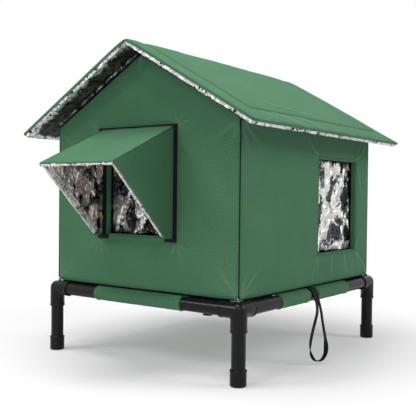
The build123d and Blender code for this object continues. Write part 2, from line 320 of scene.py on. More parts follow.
def crumpled_foil_group():
    """Foil in flat facets of three sizes with creases between them, its colour a painted reflection: some
    facets painted bright and some dark, as if mirroring lit and dark surroundings.
    """
    tree, start, end = shader_group(
        "crumpled foil",
        (
            ("Stretch", "vector", (1, 1, 1)),
            ("Bright", "colour", (0.92, 0.91, 0.9, 1)),
            ("Dark share", "number", 0.4),
            ("Facet", "number", 0.02),
            ("Facet share", "number", 1.0),
            ("Specks", "number", 0.0),
            ("Pale", "number", 0.0),
            ("Glint", "number", 0.0),
            ("Shade", "number", 0.0),
        ),
    )
    middle = (0.5, 0.5, 0.5)
    bend = vector_calc("SUBTRACT", noise(start["Place"], 45.0, 3.0)[1], middle)
    place = vector_calc("ADD", start["Place"], scaled(bend, 0.012))
    place = vector_calc("MULTIPLY", place, start["Stretch"])
    heights, tones = [], []
    for share in (1.0, 0.42, 0.17):
        found = texture("ShaderNodeTexVoronoi", place, 1.0 / (start["Facet"] * share))
        tilt = vector_calc("SUBTRACT", found["Color"], middle)
        away = vector_calc("SUBTRACT", place, found["Position"])
        heights.append(vector_calc("DOT_PRODUCT", tilt, away))
        red, green, _ = split("ShaderNodeSeparateColor", found["Color"])
        tones.append(red)
    feed(end["Height"], heights[0] + heights[1] + heights[2])

    # Painted reflection: which facets are painted bright and which dark (dull), and how bright each
    # bright one is painted
    tone = tones[0] * 0.5 + tones[1] * 0.32 + tones[2] * 0.18
    tone = (tone - 0.5) * start["Facet share"] + 0.5 + start["Glint"] * 0.45
    edge = start["Dark share"] * 0.6 + 0.2
    bright = ramped(tone, edge - 0.05, edge + 0.05)
    greys = ramped(tones[1] + start["Glint"] * 0.4 + start["Pale"], 0.1, 0.6, 0.45, 1.0)
    lit = mixed(greys, (0.30, 0.29, 0.29, 1), start["Bright"])
    dull = mixed(ramped(tones[2], 0.6, 1.0), (0.018, 0.019, 0.023, 1), (0.12, 0.12, 0.13, 1))
    colour = mixed(bright, dull, lit)

    # Warm specks in the smallest facets, and a painted reflection of the dark walls in dark green where
    # the Shade mark is set
    speck = calc("GREATER_THAN", green, 1.0 - start["Specks"])
    colour = mixed(speck, colour, (0.80, 0.50, 0.24, 1))
    clear = tones[1] * -0.04 + (tones[0] * -0.07 + 1.0)
    shade = calc("MULTIPLY", start["Shade"], clear, clamp=True)
    feed(end["Colour"], mixed(shade, colour, (0.007, 0.017, 0.011, 1)))
    feed(end["Roughness"], shade * 0.5 + ramped(bright, 0.0, 1.0, 0.20, 0.30))
    return tree


def moulded_plastic_group():
    """Semi-gloss moulded plastic with faint dust and handling marks."""
    inputs = (("Base", "colour", (0.011, 0.011, 0.012, 1)), ("Gloss", "number", 0.3))
    tree, start, end = shader_group("moulded plastic", inputs)
    marks = noise(start["Place"], 60.0, 4.0)[0]
    dust = ramped(marks, 0.55, 0.8, 0.0, 0.3)
    feed(end["Colour"], mixed(dust, start["Base"], (0.018, 0.018, 0.019, 1)))
    feed(end["Roughness"], start["Gloss"] + (marks - 0.5) * 0.25)
    feed(end["Height"], noise(start["Place"], 900.0, 2.0)[0])
    return tree


def webbing_group():
    """Woven tape: ribs across it, finer cords along it."""
    inputs = (("Base", "colour", (0.007, 0.007, 0.008, 1)), ("Rib", "number", 0.0012))
    tree, start, end = shader_group("webbing", inputs)
    parts = split("ShaderNodeSeparateXYZ", start["Place"])
    waves = []
    for part, share in zip(parts, (1.6, 1.0)):
        waves.append(calc("ABSOLUTE", calc("SINE", part / start["Rib"] * (TAU * share))))
    ribs = waves[0] * waves[1]
    fuzz = noise(start["Place"], 500.0, 2.0)[0]
    light = ribs * ramped(fuzz, 0.3, 0.8, 0.0, 0.5)
    feed(end["Colour"], mixed(light, start["Base"], (0.035, 0.035, 0.037, 1)))
    feed(end["Roughness"], ramped(fuzz, 0.3, 0.7, 0.6, 0.85))
    feed(end["Height"], ribs)
    return tree


materials = {}


def finish_material(name, group, place, bump, sockets, marks=(), **inputs):
    """A material whose colour, roughness and bump come from one shader group."""
    made = bpy.data.materials.new(name)
    made.use_nodes = True
    tree = made.node_tree
    new, link = tree.nodes.new, tree.links.new
    shader, looks, relief = tree.nodes["Principled BSDF"], new("ShaderNodeGroup"), new("ShaderNodeBump")
    looks.node_tree = group
    link(new("ShaderNodeTexCoord").outputs[place], looks.inputs["Place"])
    for label, value in inputs.items():
        looks.inputs[label.replace("_", " ")].default_value = value
    for label in marks:
        attribute = new("ShaderNodeAttribute")
        attribute.attribute_name = label
        link(attribute.outputs["Fac"], looks.inputs[label])
    relief.inputs["Distance"].default_value = bump
    link(looks.outputs["Height"], relief.inputs["Height"])
    link(looks.outputs["Colour"], shader.inputs["Base Color"])
    link(looks.outputs["Roughness"], shader.inputs["Roughness"])
    link(relief.outputs["Normal"], shader.inputs["Normal"])
    for label, value in sockets.items():
        shader.inputs[label].default_value = value
    return made


def make_materials(colours):
    cloth, foil = woven_cloth_group(), crumpled_foil_group()
    plastic, webbing = moulded_plastic_group(), webbing_group()
    soft = {"Sheen Weight": 0.08, "Sheen Roughness": 0.4, "Specular IOR Level": 0.1}
    green, dark_green = (*colours.cloth, 1), (0.018, 0.05, 0.028, 1)
    materials["cloth"] = finish_material(
        "green cloth", cloth, "UV", 0.0003, soft, ["Fold"], Base=green
    )
    materials["thread"] = finish_material(
        "green thread", cloth, "Object", 0.0001, soft, Base=dark_green
    )
    bright, white, taupe = (*colours.foil, 1), (1, 0.99, 0.98, 1), (0.78, 0.69, 0.62, 1)
    # Painted reflection and painted highlight: each foil copy is painted for where it sits, its dark
    # share, highlight and bright colour setting how much of it looks to mirror dark or lit surroundings;
    # the hem's white is a painted highlight and the awning's taupe is painted shade inside the awning
    for name, light, dark, facet, share, specks, painted_highlight, stretch, metallic in (
        ("curtain", bright, 0.50, 0.022, 0.80, 0.0, 0.1, (1, 1, 0.8), 0.7),
        ("edge", bright, 0.14, 0.014, 1.0, 0.010, 0.2, (1, 1, 1), 0.6),
        ("hem", white, 0.08, 0.011, 1.0, 0.04, 0.6, (1, 1, 1), 0.15),
        ("lining", bright, 0.35, 0.016, 1.0, 0.0, 0.0, (1, 1, 1), 1.0),
        ("awning", taupe, 0.36, 0.021, 1.0, 0.008, 0.1, (1, 1.2, 0.5), 0.6),
    ):
        materials[f"{name} foil"] = finish_material(
            f"{name} foil",
            foil,
            "Object",
            1.0,
            {"Metallic": metallic},
            ["Glint", "Shade"],
            Bright=light,
            Dark_share=dark,
            Facet=facet,
            Facet_share=share,
            Specks=specks,
            Pale=painted_highlight,
            Stretch=stretch,
        )
    satin, dull = {"Specular IOR Level": 0.17}, {"Specular IOR Level": 0.12}
    for name, gloss in (("pipe", 0.24), ("fitting", 0.18)):
        materials[name] = finish_material(
            f"black {name}", plastic, "Object", 0.00001, satin, Base=(*colours.plastic, 1), Gloss=gloss
        )
    for name, place, bump, rib in (
        ("tape", "UV", 0.0002, 0.0012),
        ("strap", "UV", 0.0001, 0.0008),
        ("hook tape", "Object", 0.0002, 0.0012),
    ):
        materials[name] = finish_material(
            f"black {name}", webbing, place, bump, dull, Base=(*colours.webbing, 1), Rib=rib
        )


# Mesh helpers


def lines(start, end, step, *stops):
    """Even values from start to end, no further apart than step, with one on each stop."""
    marks = sorted({start, end, *(stop for stop in stops if start < stop < end)})
    runs = []
    for a, b in zip(marks, marks[1:]):
        runs.append(np.linspace(a, b, math.ceil((b - a) / step - 1e-6) + 1)[:-1])
    return np.append(np.concatenate(runs), end)


def grid(*ranges):
    return np.meshgrid(*ranges, indexing="ij")


def stacked(*parts):
    """Arrays, or arrays and plain numbers, as one array of points."""
    return np.stack(np.broadcast_arrays(*parts), -1)


def add_piece(name, points, faces, material, uv=None, marks=(), smooth=True):
    """A closed mesh object with its faces outwards; points that no face uses are left out."""
    points = np.asarray(points, float).reshape(-1, 3)
    flat = np.concatenate([np.ravel(face) for face in faces]) if isinstance(faces, list) else faces
    used = np.unique(flat)
    number = np.zeros(len(points), int)
    number[used] = np.arange(len(used))
    if isinstance(faces, list):
        faces = [[int(number[i]) for i in face] for face in faces]
    else:
        faces = number[faces].tolist()
    mesh = bpy.data.meshes.new(name)
    mesh.from_pydata(points[used].tolist(), [], faces)
    for label, values in marks:
        layer = mesh.attributes.new(label, "FLOAT", "POINT")
        layer.data.foreach_set("value", np.ravel(values)[used].astype(np.float32))
    if uv is not None:
        corner = np.zeros(len(mesh.loops), np.int32)
        mesh.loops.foreach_get("vertex_index", corner)
        layer = mesh.uv_layers.new(name="UVMap")
        layer.data.foreach_set("uv", np.asarray(uv).reshape(-1, 2)[used][corner].ravel())
    work = bmesh.new()
    work.from_mesh(mesh)
    if work.calc_volume(signed=True) < 0:
        bmesh.ops.reverse_faces(work, faces=work.faces)
    work.to_mesh(mesh)
    work.free()
    if smooth:
        mesh.shade_smooth()
    mesh.materials.append(material)
    return add_object(name, mesh)


def add_object(name, data):
    made = bpy.data.objects.new(name, data)
    bpy.context.scene.collection.objects.link(made)
    return made


def settle(piece, body, slot, *nodes):
    """Puts a finished piece on its body, in the place of CAD nodes."""
    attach(piece, body)
    if nodes:
        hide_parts(*nodes)
    return piece


def shell_faces(shape, keep=None):
    """Faces of a closed skin between two grids of points. Cells that keep leaves out are open."""
    rows, columns = shape
    count = rows * columns
    number = np.arange(count).reshape(rows, columns)
    keep = np.ones((rows - 1, columns - 1), bool) if keep is None else keep
    a, b, c, d = number[:-1, :-1], number[1:, :-1], number[1:, 1:], number[:-1, 1:]
    cell = np.stack([a, b, c, d], -1)
    faces = [cell[keep], cell[keep][:, ::-1] + count]
    wide = np.pad(keep, 1)
    sides = (
        (a, b, wide[1:-1, :-2]),
        (b, c, wide[2:, 1:-1]),
        (c, d, wide[1:-1, 2:]),
        (d, a, wide[:-2, 1:-1]),
    )
    for first, second, beside in sides:
        rim = keep & ~beside
        p, q = first[rim], second[rim]
        faces.append(np.stack([q, p, p + count, q + count], -1))
    return np.concatenate(faces)


def shell_part(outer, inner, uv, turned=False):
    """Points, faces and UV of a closed skin between two grids, for joining with others."""
    faces = shell_faces(outer.shape[:2])
    faces = faces[:, ::-1] if turned else faces
    points = np.concatenate([outer.reshape(-1, 3), inner.reshape(-1, 3)])
    return points, faces.tolist(), np.concatenate([uv.reshape(-1, 2)] * 2)


def add_shell(name, outer, inner, material, uv, keep=None, marks=()):
    points = np.concatenate([outer.reshape(-1, 3), inner.reshape(-1, 3)])
    doubled = [(label, np.concatenate([np.ravel(v), np.ravel(v) * 0])) for label, v in marks]
    both = np.concatenate([uv.reshape(-1, 2)] * 2)
    faces = shell_faces(outer.shape[:2], keep)
    return add_piece(name, points, faces, material, both, doubled)


def block_faces(na, nb, nc):
    """Outside faces of a block of na by nb by nc cells, over a lattice of its points."""
    number = np.arange((na + 1) * (nb + 1) * (nc + 1)).reshape(na + 1, nb + 1, nc + 1)
    faces = []
    for axis in range(3):
        for end in (0, -1):
            layer = np.take(number, end, axis)
            quads = np.stack([layer[:-1, :-1], layer[1:, :-1], layer[1:, 1:], layer[:-1, 1:]], -1)
            quads = quads.reshape(-1, 4)
            faces.append(quads[:, ::-1] if (end == 0) != (axis == 1) else quads)
    return np.concatenate(faces)


def sweep(path, up, profile, closed=False):
    """Points, faces and UV of a closed profile, given sideways and up, carried along a path."""
    path = np.asarray(path, float)
    ahead = np.roll(path, -1, 0) - np.roll(path, 1, 0) if closed else np.gradient(path, axis=0)
    ahead = ahead / np.linalg.norm(ahead, axis=1, keepdims=True)
    side = np.cross(ahead, np.broadcast_to(np.asarray(up, float), path.shape))
    side = side / np.linalg.norm(side, axis=1, keepdims=True)
    upright = np.cross(side, ahead)
    profile = np.asarray(profile, float)
    n, m = len(path), len(profile)
    points = path[:, None] + profile[None, :, :1] * side[:, None]
    points = points + profile[None, :, 1:2] * upright[:, None]
    number = np.arange(n * m).reshape(n, m)
    here = number if closed else number[:-1]
    there = np.roll(number, -1, 0) if closed else number[1:]
    quads = np.stack([here, there, np.roll(there, -1, 1), np.roll(here, -1, 1)], -1)
    faces = quads.reshape(-1, 4).tolist()
    if not closed:
        faces += [number[0].tolist(), number[-1][::-1].tolist()]
    along = np.concatenate([[0], np.cumsum(np.linalg.norm(np.diff(path, axis=0), axis=1))])
    around = np.linalg.norm(np.diff(profile, axis=0, prepend=profile[:1]), axis=1).cumsum()
    uv = stacked(around[None, :], along[:, None])
    return points.reshape(-1, 3), faces, uv.reshape(-1, 2)


def joined(parts):
    """Several lots of points, faces and UV as one."""
    points, faces, uvs, count = [], [], [], 0
    for part_points, part_faces, part_uv in parts:
        points.append(part_points)
        faces += [[i + count for i in face] for face in part_faces]
        uvs.append(part_uv)
        count += len(part_points)
    return np.concatenate(points), faces, np.concatenate(uvs)


def add_joined(name, parts, material, body, slot, *nodes):
    """One piece made of swept parts, settled on its body."""
    points, faces, uv = joined(parts)
    return settle(add_piece(name, points, faces, material, uv), body, slot, *nodes)


def rounded_corners(centres, radius, steps):
    points = []
    for corner, (a, b) in enumerate(centres):
        for step in range(steps + 1):
            angle = math.pi / 2 * (corner + step / steps)
            points.append((a + radius * math.cos(angle), b + radius * math.sin(angle)))
    return points


def rounded_profile(width, height, radius, steps=4):
    """Corner-rounded rectangle about the origin, as a closed profile."""
    a, b = width / 2 - radius, height / 2 - radius
    return rounded_corners(((a, b), (-a, b), (-a, -b), (a, -b)), radius, steps)


def rectangle_path(low_a, high_a, low_b, high_b, radius, steps=5):
    """Corner-rounded rectangle between two limits each way."""
    a0, a1, b0, b1 = low_a + radius, high_a - radius, low_b + radius, high_b - radius
    return rounded_corners(((a1, b1), (a0, b1), (a0, b0), (a1, b0)), radius, steps)


# Wrinkles and crumples, as heights over a grid of places in metres


def ripple(u, v, seed, long, short, height):
    """Soft uneven swell, made of a few waves from long to short."""
    random = np.random.default_rng(seed)
    total = np.zeros(np.broadcast(u, v).shape)
    for span in np.geomspace(long, short, 6):
        angle, phase = random.uniform(0, TAU, 2)
        total = total + np.sin(TAU * (u * math.cos(angle) + v * math.sin(angle)) / span + phase)
    return height * total / 6


def facets(u, v, size, seed):
    """Crumpled surface of flat-sided hollows and ridges, from about 0 to 1."""
    table = np.random.default_rng(seed).random((64, 64, 2))
    a, b = u / size, v / size
    cell_a, cell_b = np.floor(a).astype(int), np.floor(b).astype(int)
    nearest = np.full(a.shape, 9.0)
    second = np.full(a.shape, 9.0)
    for da in (-1, 0, 1):
        for db in (-1, 0, 1):
            jitter = table[(cell_a + da) % 64, (cell_b + db) % 64]
            away = np.hypot(cell_a + da + jitter[..., 0] - a, cell_b + db + jitter[..., 1] - b)
            second = np.minimum(second, np.maximum(nearest, away))
            nearest = np.minimum(nearest, away)
    return second - nearest


def crumpled(u, v, size, seed, height):
    """Facets of three sizes, about zero."""
    total = facets(u, v, size, seed)
    total = total + 0.5 * facets(u + 0.3 * v, v, size * 0.45, seed + 1)
    total = total + 0.25 * facets(u, v - 0.4 * u, size * 0.22, seed + 2)
    return height * (total - 0.75)


def beside(u, v, start, end):
    """How far along the line from start to end each place is, as a share, and how far off it."""
    along_u, along_v = end[0] - start[0], end[1] - start[1]
    span = math.hypot(along_u, along_v)
    share = ((u - start[0]) * along_u + (v - start[1]) * along_v) / span**2
    return share, ((u - start[0]) * along_v - (v - start[1]) * along_u) / span


def fold(u, v, start, end, width, height):
    """A crease that rises near its start, widens and fades towards its end."""
    t, away = beside(u, v, start, end)
    spread = width * (0.5 + np.clip(t, 0, 1))
    inside = np.clip(t / 0.22, 0, 1) * np.clip(1 - t, 0, 1)
    q = (away / spread) ** 2
    return height * inside * (1 - 1.4 * q) * np.exp(-1.3 * q)


def streaks(u, v, creases, seed):
    """Ragged bands of painted reflection: bright along the creases that rise and dark along those that
    sink.
    """
    bent = u + ripple(u, v, seed, 0.04, 0.004, 0.007)
    v = v + ripple(v, u, seed + 1, 0.04, 0.004, 0.007)
    u = bent
    total = np.zeros(u.shape)
    for start, end, width, height in creases:
        t, away = beside(u, v, start, end)
        swell = np.sin(math.pi * np.clip(t, 0.02, 0.98)) + 0.15
        band = np.exp(-1.6 * (away / (width * swell)) ** 2) * (t > -0.1) * (t < 1.1)
        total = total + math.copysign(1.5, height) * band
    return np.clip(total, -1.1, 1.1)


def rounding(distance, reach, depth):
    """How far a surface turns in at a given distance from its edge."""
    t = np.clip((reach - distance) / reach, 0, 1)
    return depth * (1 - np.sqrt(np.clip(1 - t**2, 0, 1)))


def roof_height(x, depth, soft):
    """Height at x of a layer of the roof, with a soft bend over the ridge."""
    bent = np.sqrt(x**2 + soft**2)
    return ridge - bent * math.tan(slope) - depth / math.cos(slope)


# Wall folds: a corner of something sewn to the wall, then each fold's angle in degrees,
# and its length, width and height in millimetres

tape_left, tape_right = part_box("awning_tape_left"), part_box("awning_tape_right")
tape_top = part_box("awning_tape_top")
eave_corner = gable_top - 0.135
front_folds = (
    ((0.0, gable_top), ((-97, 34, 5, 1.6), (-82, 28, 4, 1.4), (-70, 22, 4, 1.0), (-110, 24, 5, 1.0))),
    (
        (tape_top[0].x, awning_high.z),
        ((150, 40, 6, 1.2), (185, 26, 5, 1.0), (215, 34, 6, 1.1), (120, 30, 6, 0.8)),
    ),
    (
        (tape_top[1].x, awning_high.z),
        ((15, 32, 5, 1.4), (60, 36, 5, 1.4), (100, 30, 5, 1.1), (-20, 34, 6, 1.0), (140, 34, 7, 0.9)),
    ),
    (
        (tape_left[0].x + 0.006, tape_left[0].z),
        ((-80, 44, 5, 1.6), (-112, 40, 5, 1.4), (-50, 50, 6, 1.1), (-145, 40, 7, 1.0)),
    ),
    ((tape_right[1].x, tape_right[0].z), ((-70, 46, 5, 1.4), (-30, 40, 6, 1.1), (-110, 44, 6, 1.2))),
    ((-right, eave_corner), ((-30, 70, 8, 1.2), (-62, 60, 8, 1.0))),
    ((right, eave_corner), ((205, 70, 8, 1.2), (240, 50, 7, 1.0))),
    ((-right, wall_bottom), ((35, 60, 8, 1.2), (60, 50, 7, 0.9))),
    ((right, wall_bottom), ((130, 80, 8, 1.4), (155, 70, 8, 1.0), (112, 60, 6, 0.9))),
)
side_folds = (
    ((side_low.y, side_high.z), ((142, 72, 5, 2.4), (118, 50, 6, 1.0), (178, 40, 6, 0.8))),
    ((side_high.y, side_high.z), ((38, 74, 5, 2.4), (62, 50, 5, 1.2), (-68, 120, 7, 1.6))),
    ((side_high.y, side_low.z), ((-38, 90, 5, 2.6), (-60, 60, 5, 1.4), (62, 60, 6, 1.0))),
    ((side_low.y, side_low.z), ((-118, 60, 6, 1.2), (-92, 56, 5, 1.2), (-150, 50, 6, 0.8))),
    ((side_low.y + 0.06, side_low.z - 0.004), ((-86, 52, 6, 1.4), (-97, 46, 5, 1.0))),
    ((side_low.y + 0.12, side_low.z - 0.004), ((-80, 50, 6, 1.2), (-65, 56, 6, 1.2))),
    ((front, wall_top(right)), ((-35, 80, 8, 1.4), (-66, 60, 7, 1.4), (-12, 70, 8, 0.9))),
    ((front, wall_bottom), ((40, 90, 8, 1.4), (62, 60, 7, 1.2), (20, 80, 8, 0.9))),
    ((back, wall_bottom), ((150, 60, 6, 1.2), (125, 50, 6, 1.0))),
)
plain_folds = (
    ((-right, wall_bottom), ((35, 90, 8, 1.4), (60, 60, 7, 1.0))),
    ((right, wall_bottom), ((140, 90, 8, 1.4), (115, 60, 7, 1.0))),
    ((-right, wall_top(right)), ((-38, 90, 8, 1.4), (-66, 60, 7, 1.0))),
    ((right, wall_top(right)), ((218, 90, 8, 1.4), (246, 60, 7, 1.0))),
)


def folds_over(u, v, groups):
    total = np.zeros(np.broadcast(u, v).shape)
    for corner, rays in groups:
        for angle, reach, width, height in rays:
            aim = math.radians(angle)
            end = (corner[0] + reach * MM * math.cos(aim), corner[1] + reach * MM * math.sin(aim))
            total = total + fold(u, v, corner, end, width * MM, height * MM)
    return total


# Each wall: where a place across, up and inwards lies, its two ends, its folds and their strength
WALLS = {
    "front": (lambda u, z, d: (u, front + d, z), -right, right, front_folds, 1.1),
    "back": (lambda u, z, d: (u, back - d, z), -right, right, plain_folds, 1.0),
    "right": (lambda u, z, d: (right - d, u, z), front, back, side_folds, 1.6),
    "left": (lambda u, z, d: (-right + d, u, z), front, back, plain_folds, 1.0),
}
HOLES = {
    "front": (door_box[0].x, door_box[1].x, door_box[0].z, door_box[1].z),
    "right": (side_low.y, side_high.y, side_low.z, side_high.z),
}


def wall_grid(name, u0, u1, step, round_corner):
    """Places across and up a wall, and which of its cells are kept."""
    even = wall_top(right) - 0.006
    hole = HOLES.get(name)
    stops_u, stops_z = (hole[:2], hole[2:]) if hole else ((), ())
    u = lines(u0, u1, step, *stops_u)
    z = lines(wall_bottom, even, step, *stops_z)
    top = wall_top(u) if name in ("front", "back") else np.full(len(u), wall_top(right))
    rows = math.ceil((top.max() - even) / step)
    share = np.linspace(0, 1, rows + 1)[1:]
    upper = even + (top[:, None] - even) * share[None, :]
    height = np.concatenate([np.broadcast_to(z, (len(u), len(z))), upper], axis=1)
    across = np.broadcast_to(u[:, None], height.shape)
    keep = np.ones((len(u) - 1, height.shape[1] - 1), bool)
    if hole:
        mid_u = (u[:-1] + u[1:]) / 2
        mid_z = (height[0, :-1] + height[0, 1:]) / 2
        in_u = (mid_u > hole[0]) & (mid_u < hole[1])
        in_z = (mid_z > hole[2]) & (mid_z < hole[3])
        keep[np.ix_(in_u, in_z)] = False
    if round_corner:
        lift = rounding(np.minimum(across - u0, u1 - across), round_corner, round_corner)
        near = np.clip(1 - (height - wall_bottom) / 0.05, 0, 1)
        height = height + lift * near
    return across, height, keep


def outside(u, v, low_u, high_u, low_v, high_v):
    """How far places are outside a rectangle."""
    return np.maximum(np.maximum(low_u - u, u - high_u), np.maximum(low_v - v, v - high_v))


def wall_relief(sizes, name, u, z):
    """How far the outer cloth of a wall stands out from its plane, and the mark of its folds that paints
    their ridges lighter and their hollows darker.
    """
    _, low_u, high_u, folds, strength = WALLS[name]
    centre, half = (low_u + high_u) / 2, (high_u - low_u) / 2
    creases = strength * folds_over(u, z, folds)
    across = 1 - np.clip(np.abs(u - centre) / half, 0, 1) ** 4
    up = 1 - np.clip(np.abs(z - 0.32) / 0.18, 0, 1) ** 4
    swell = sizes.bulge * across * up
    out = swell + creases + ripple(u, z, sizes.seed + len(name), 0.20, 0.05, 0.0009)
    edge = np.minimum(u - low_u, high_u - u) - sizes.seam
    inset = rounding(edge, 0.0055, sizes.seam)
    inset = inset + rounding(z - wall_bottom, 0.006, 0.004)
    if name in HOLES:
        distance = outside(u, z, *HOLES[name])
        calm = np.clip(distance / 0.008, 0, 1)
        out = np.where(distance > 0, out * calm, 0) - rounding(distance, 0.003, 0.0012)
    if name == "front":
        # The tapes hold the cloth flat all round the awning
        distance = outside(u, z, tape_left[0].x, tape_right[1].x, tape_left[0].z, tape_top[1].z)
        held = np.clip(distance / 0.009, 0, 1)
        out = out * held - 0.0003 * (1 - held)
    return out - inset, np.clip(creases / 0.0022, -1, 1)


def add_wall(sizes, name):
    place, low_u, high_u = WALLS[name][:3]
    u0, u1 = low_u + sizes.seam, high_u - sizes.seam
    u, z, keep = wall_grid(name, u0, u1, sizes.cloth_step, sizes.corner_round)
    out, marks = wall_relief(sizes, name, u, z)
    outer, inner = stacked(*place(u, z, -out)), stacked(*place(u, z, cover + 0 * u))
    # Painted highlight on the fold ridges and painted shade in the fold hollows
    fold_shading = [("Fold", marks)]
    piece = add_shell(f"{name}_cloth", outer, inner, materials["cloth"], stacked(u, z), keep, fold_shading)
    high_u - low_u
    float(flat_area(name))
    return settle(piece, "base", "green_cover", f"{name}_cover")


def flat_area(name):
    """Cut area of a wall's cloth, without its opening."""
    low_u, high_u = WALLS[name][1:3]
    width = high_u - low_u
    area = width * (wall_top(right) - wall_bottom)
    if name in ("front", "back"):
        area += width * (gable_top - wall_top(right)) / 2
    if name in HOLES:
        a, b, c, d = HOLES[name]
        area -= (b - a) * (d - c)
    return area


def add_wall_lining(sizes, name, u0, u1):
    place = WALLS[name][0]
    u, z, keep = wall_grid(name, u0, u1, sizes.cloth_step * 1.5, 0)
    rough = crumpled(u, z, 0.03, sizes.seed + 20, sizes.crumple * 0.8)
    outer = stacked(*place(u, z, cover + 0.0002 + 0 * u))
    inner = stacked(*place(u, z, wall - 0.0008 + rough))
    foil = materials["lining foil"]
    piece = add_shell(f"{name}_foil_lining", outer, inner, foil, stacked(u, z), keep)
    settle(piece, "base", "foil_foam", f"{name}_lining")


# Openings: hems, header strips and flaps

# Folds of the flaps: start and end across and down from the middle of the hem, width and height; a rising
# crease also gets a painted bright band and a sinking one a painted dark band
door_creases = (
    ((-0.022, 0.100), (-0.073, 0.166), 0.009, 0.0032),
    ((-0.024, 0.100), (0.006, 0.166), 0.008, 0.0030),
    ((0.020, 0.142), (-0.014, 0.186), 0.007, 0.0026),
    ((-0.072, 0.076), (-0.058, 0.020), 0.006, 0.0020),
    ((-0.046, 0.128), (-0.062, 0.186), 0.004, 0.0018),
    ((0.035, 0.105), (0.035, 0.186), 0.003, 0.0024),
    ((0.047, 0.120), (0.048, 0.186), 0.0025, 0.0022),
    ((0.062, 0.150), (0.067, 0.186), 0.005, 0.0018),
    ((-0.050, 0.020), (0.004, 0.082), 0.022, -0.0030),
    ((-0.030, 0.132), (-0.026, 0.178), 0.009, -0.0036),
    ((0.041, 0.110), (0.041, 0.186), 0.003, -0.0030),
    ((0.056, 0.030), (0.056, 0.140), 0.007, -0.0026),
)
side_creases = (
    ((0.060, 0.026), (-0.078, 0.186), 0.019, 0.0036),
    ((-0.076, 0.002), (-0.062, 0.092), 0.009, 0.0026),
    ((-0.012, 0.014), (-0.036, 0.086), 0.007, 0.0026),
    ((0.004, 0.004), (0.040, 0.028), 0.008, 0.0026),
    ((0.044, 0.028), (0.074, 0.010), 0.006, 0.0022),
    ((0.026, 0.104), (0.064, 0.128), 0.007, 0.0024),
    ((-0.020, 0.184), (0.070, 0.174), 0.006, 0.0022),
    ((-0.052, 0.078), (-0.066, 0.140), 0.011, -0.0034),
    ((0.062, 0.050), (0.060, 0.108), 0.014, -0.0036),
    ((0.002, 0.030), (-0.012, 0.090), 0.009, -0.0032),
    ((0.000, 0.130), (0.030, 0.168), 0.011, -0.0034),
)


def add_opening_ring(name, axis, box, at, grow, corner, width, depth, *nodes):
    """A rounded cloth frame round an opening whose wall faces the given axis."""
    across = 1 - axis
    limits = (box[0][across] - grow, box[1][across] + grow, box[0].z - grow, box[1].z + grow)
    pairs = rectangle_path(*limits, corner)
    path = [(a, at, b) if axis else (at, a, b) for a, b in pairs]
    outward = (0, 1, 0) if axis else (1, 0, 0)
    profile = rounded_profile(width, depth, min(width, depth) * 0.42)
    part = sweep(path, outward, profile, closed=True)
    add_joined(name, [part], materials["cloth"], "base", "green_cover", *nodes)


def hanging_foil(sizes, name, middle, width, height, folds, place, creases, seed, reflected_lines_share):
    """A foil flap of flat facets and main folds; place turns across, down and out into a point."""
    step = sizes.cloth_step * 0.7
    across, down = grid(lines(-width / 2, width / 2, step), lines(0, height, step))
    share = np.clip(down / height, 0, 1)
    pleat = width / folds
    number = np.floor((across + width / 2) / pleat * (1 - 1e-9)).astype(int)
    t = (across + width / 2) / pleat - number
    wave = np.where(number % 2, -1.0, 1.0) * (1 - (2 * t - 1) ** 2)
    out = wave * (0.0003 + 0.0021 * share)
    rough = crumpled(across, down * 0.6, 0.024, seed, 0.0030)
    creased = sum(fold(across, down, *crease) for crease in creases)
    out = np.clip(out + np.clip(down / 0.02, 0, 1) * (rough + creased), -0.0085, 0.0024)
    # Painted reflection on the Glint mark: bright and dark bands along the creases, a slight dark bias,
    # and fine painted lines of reflection in the upper part of the flap where neither band lies
    lit = streaks(across, down, creases, seed + 5)
    bare = np.clip(1 - np.abs(lit), 0, 1)
    reflected_lines = np.sin(TAU * down / 0.0045) * np.clip(1 - down / (0.55 * height), 0, 1)
    glint = [("Glint", lit - 0.18 + reflected_lines_share * reflected_lines * bare)]
    thick = 0.0005
    outer = stacked(*place(across + middle, down, out + thick))
    inner = stacked(*place(across + middle, down, out - thick))
    uv = stacked(across, down)
    return add_shell(name, outer, inner, materials["curtain foil"], uv, None, glint)


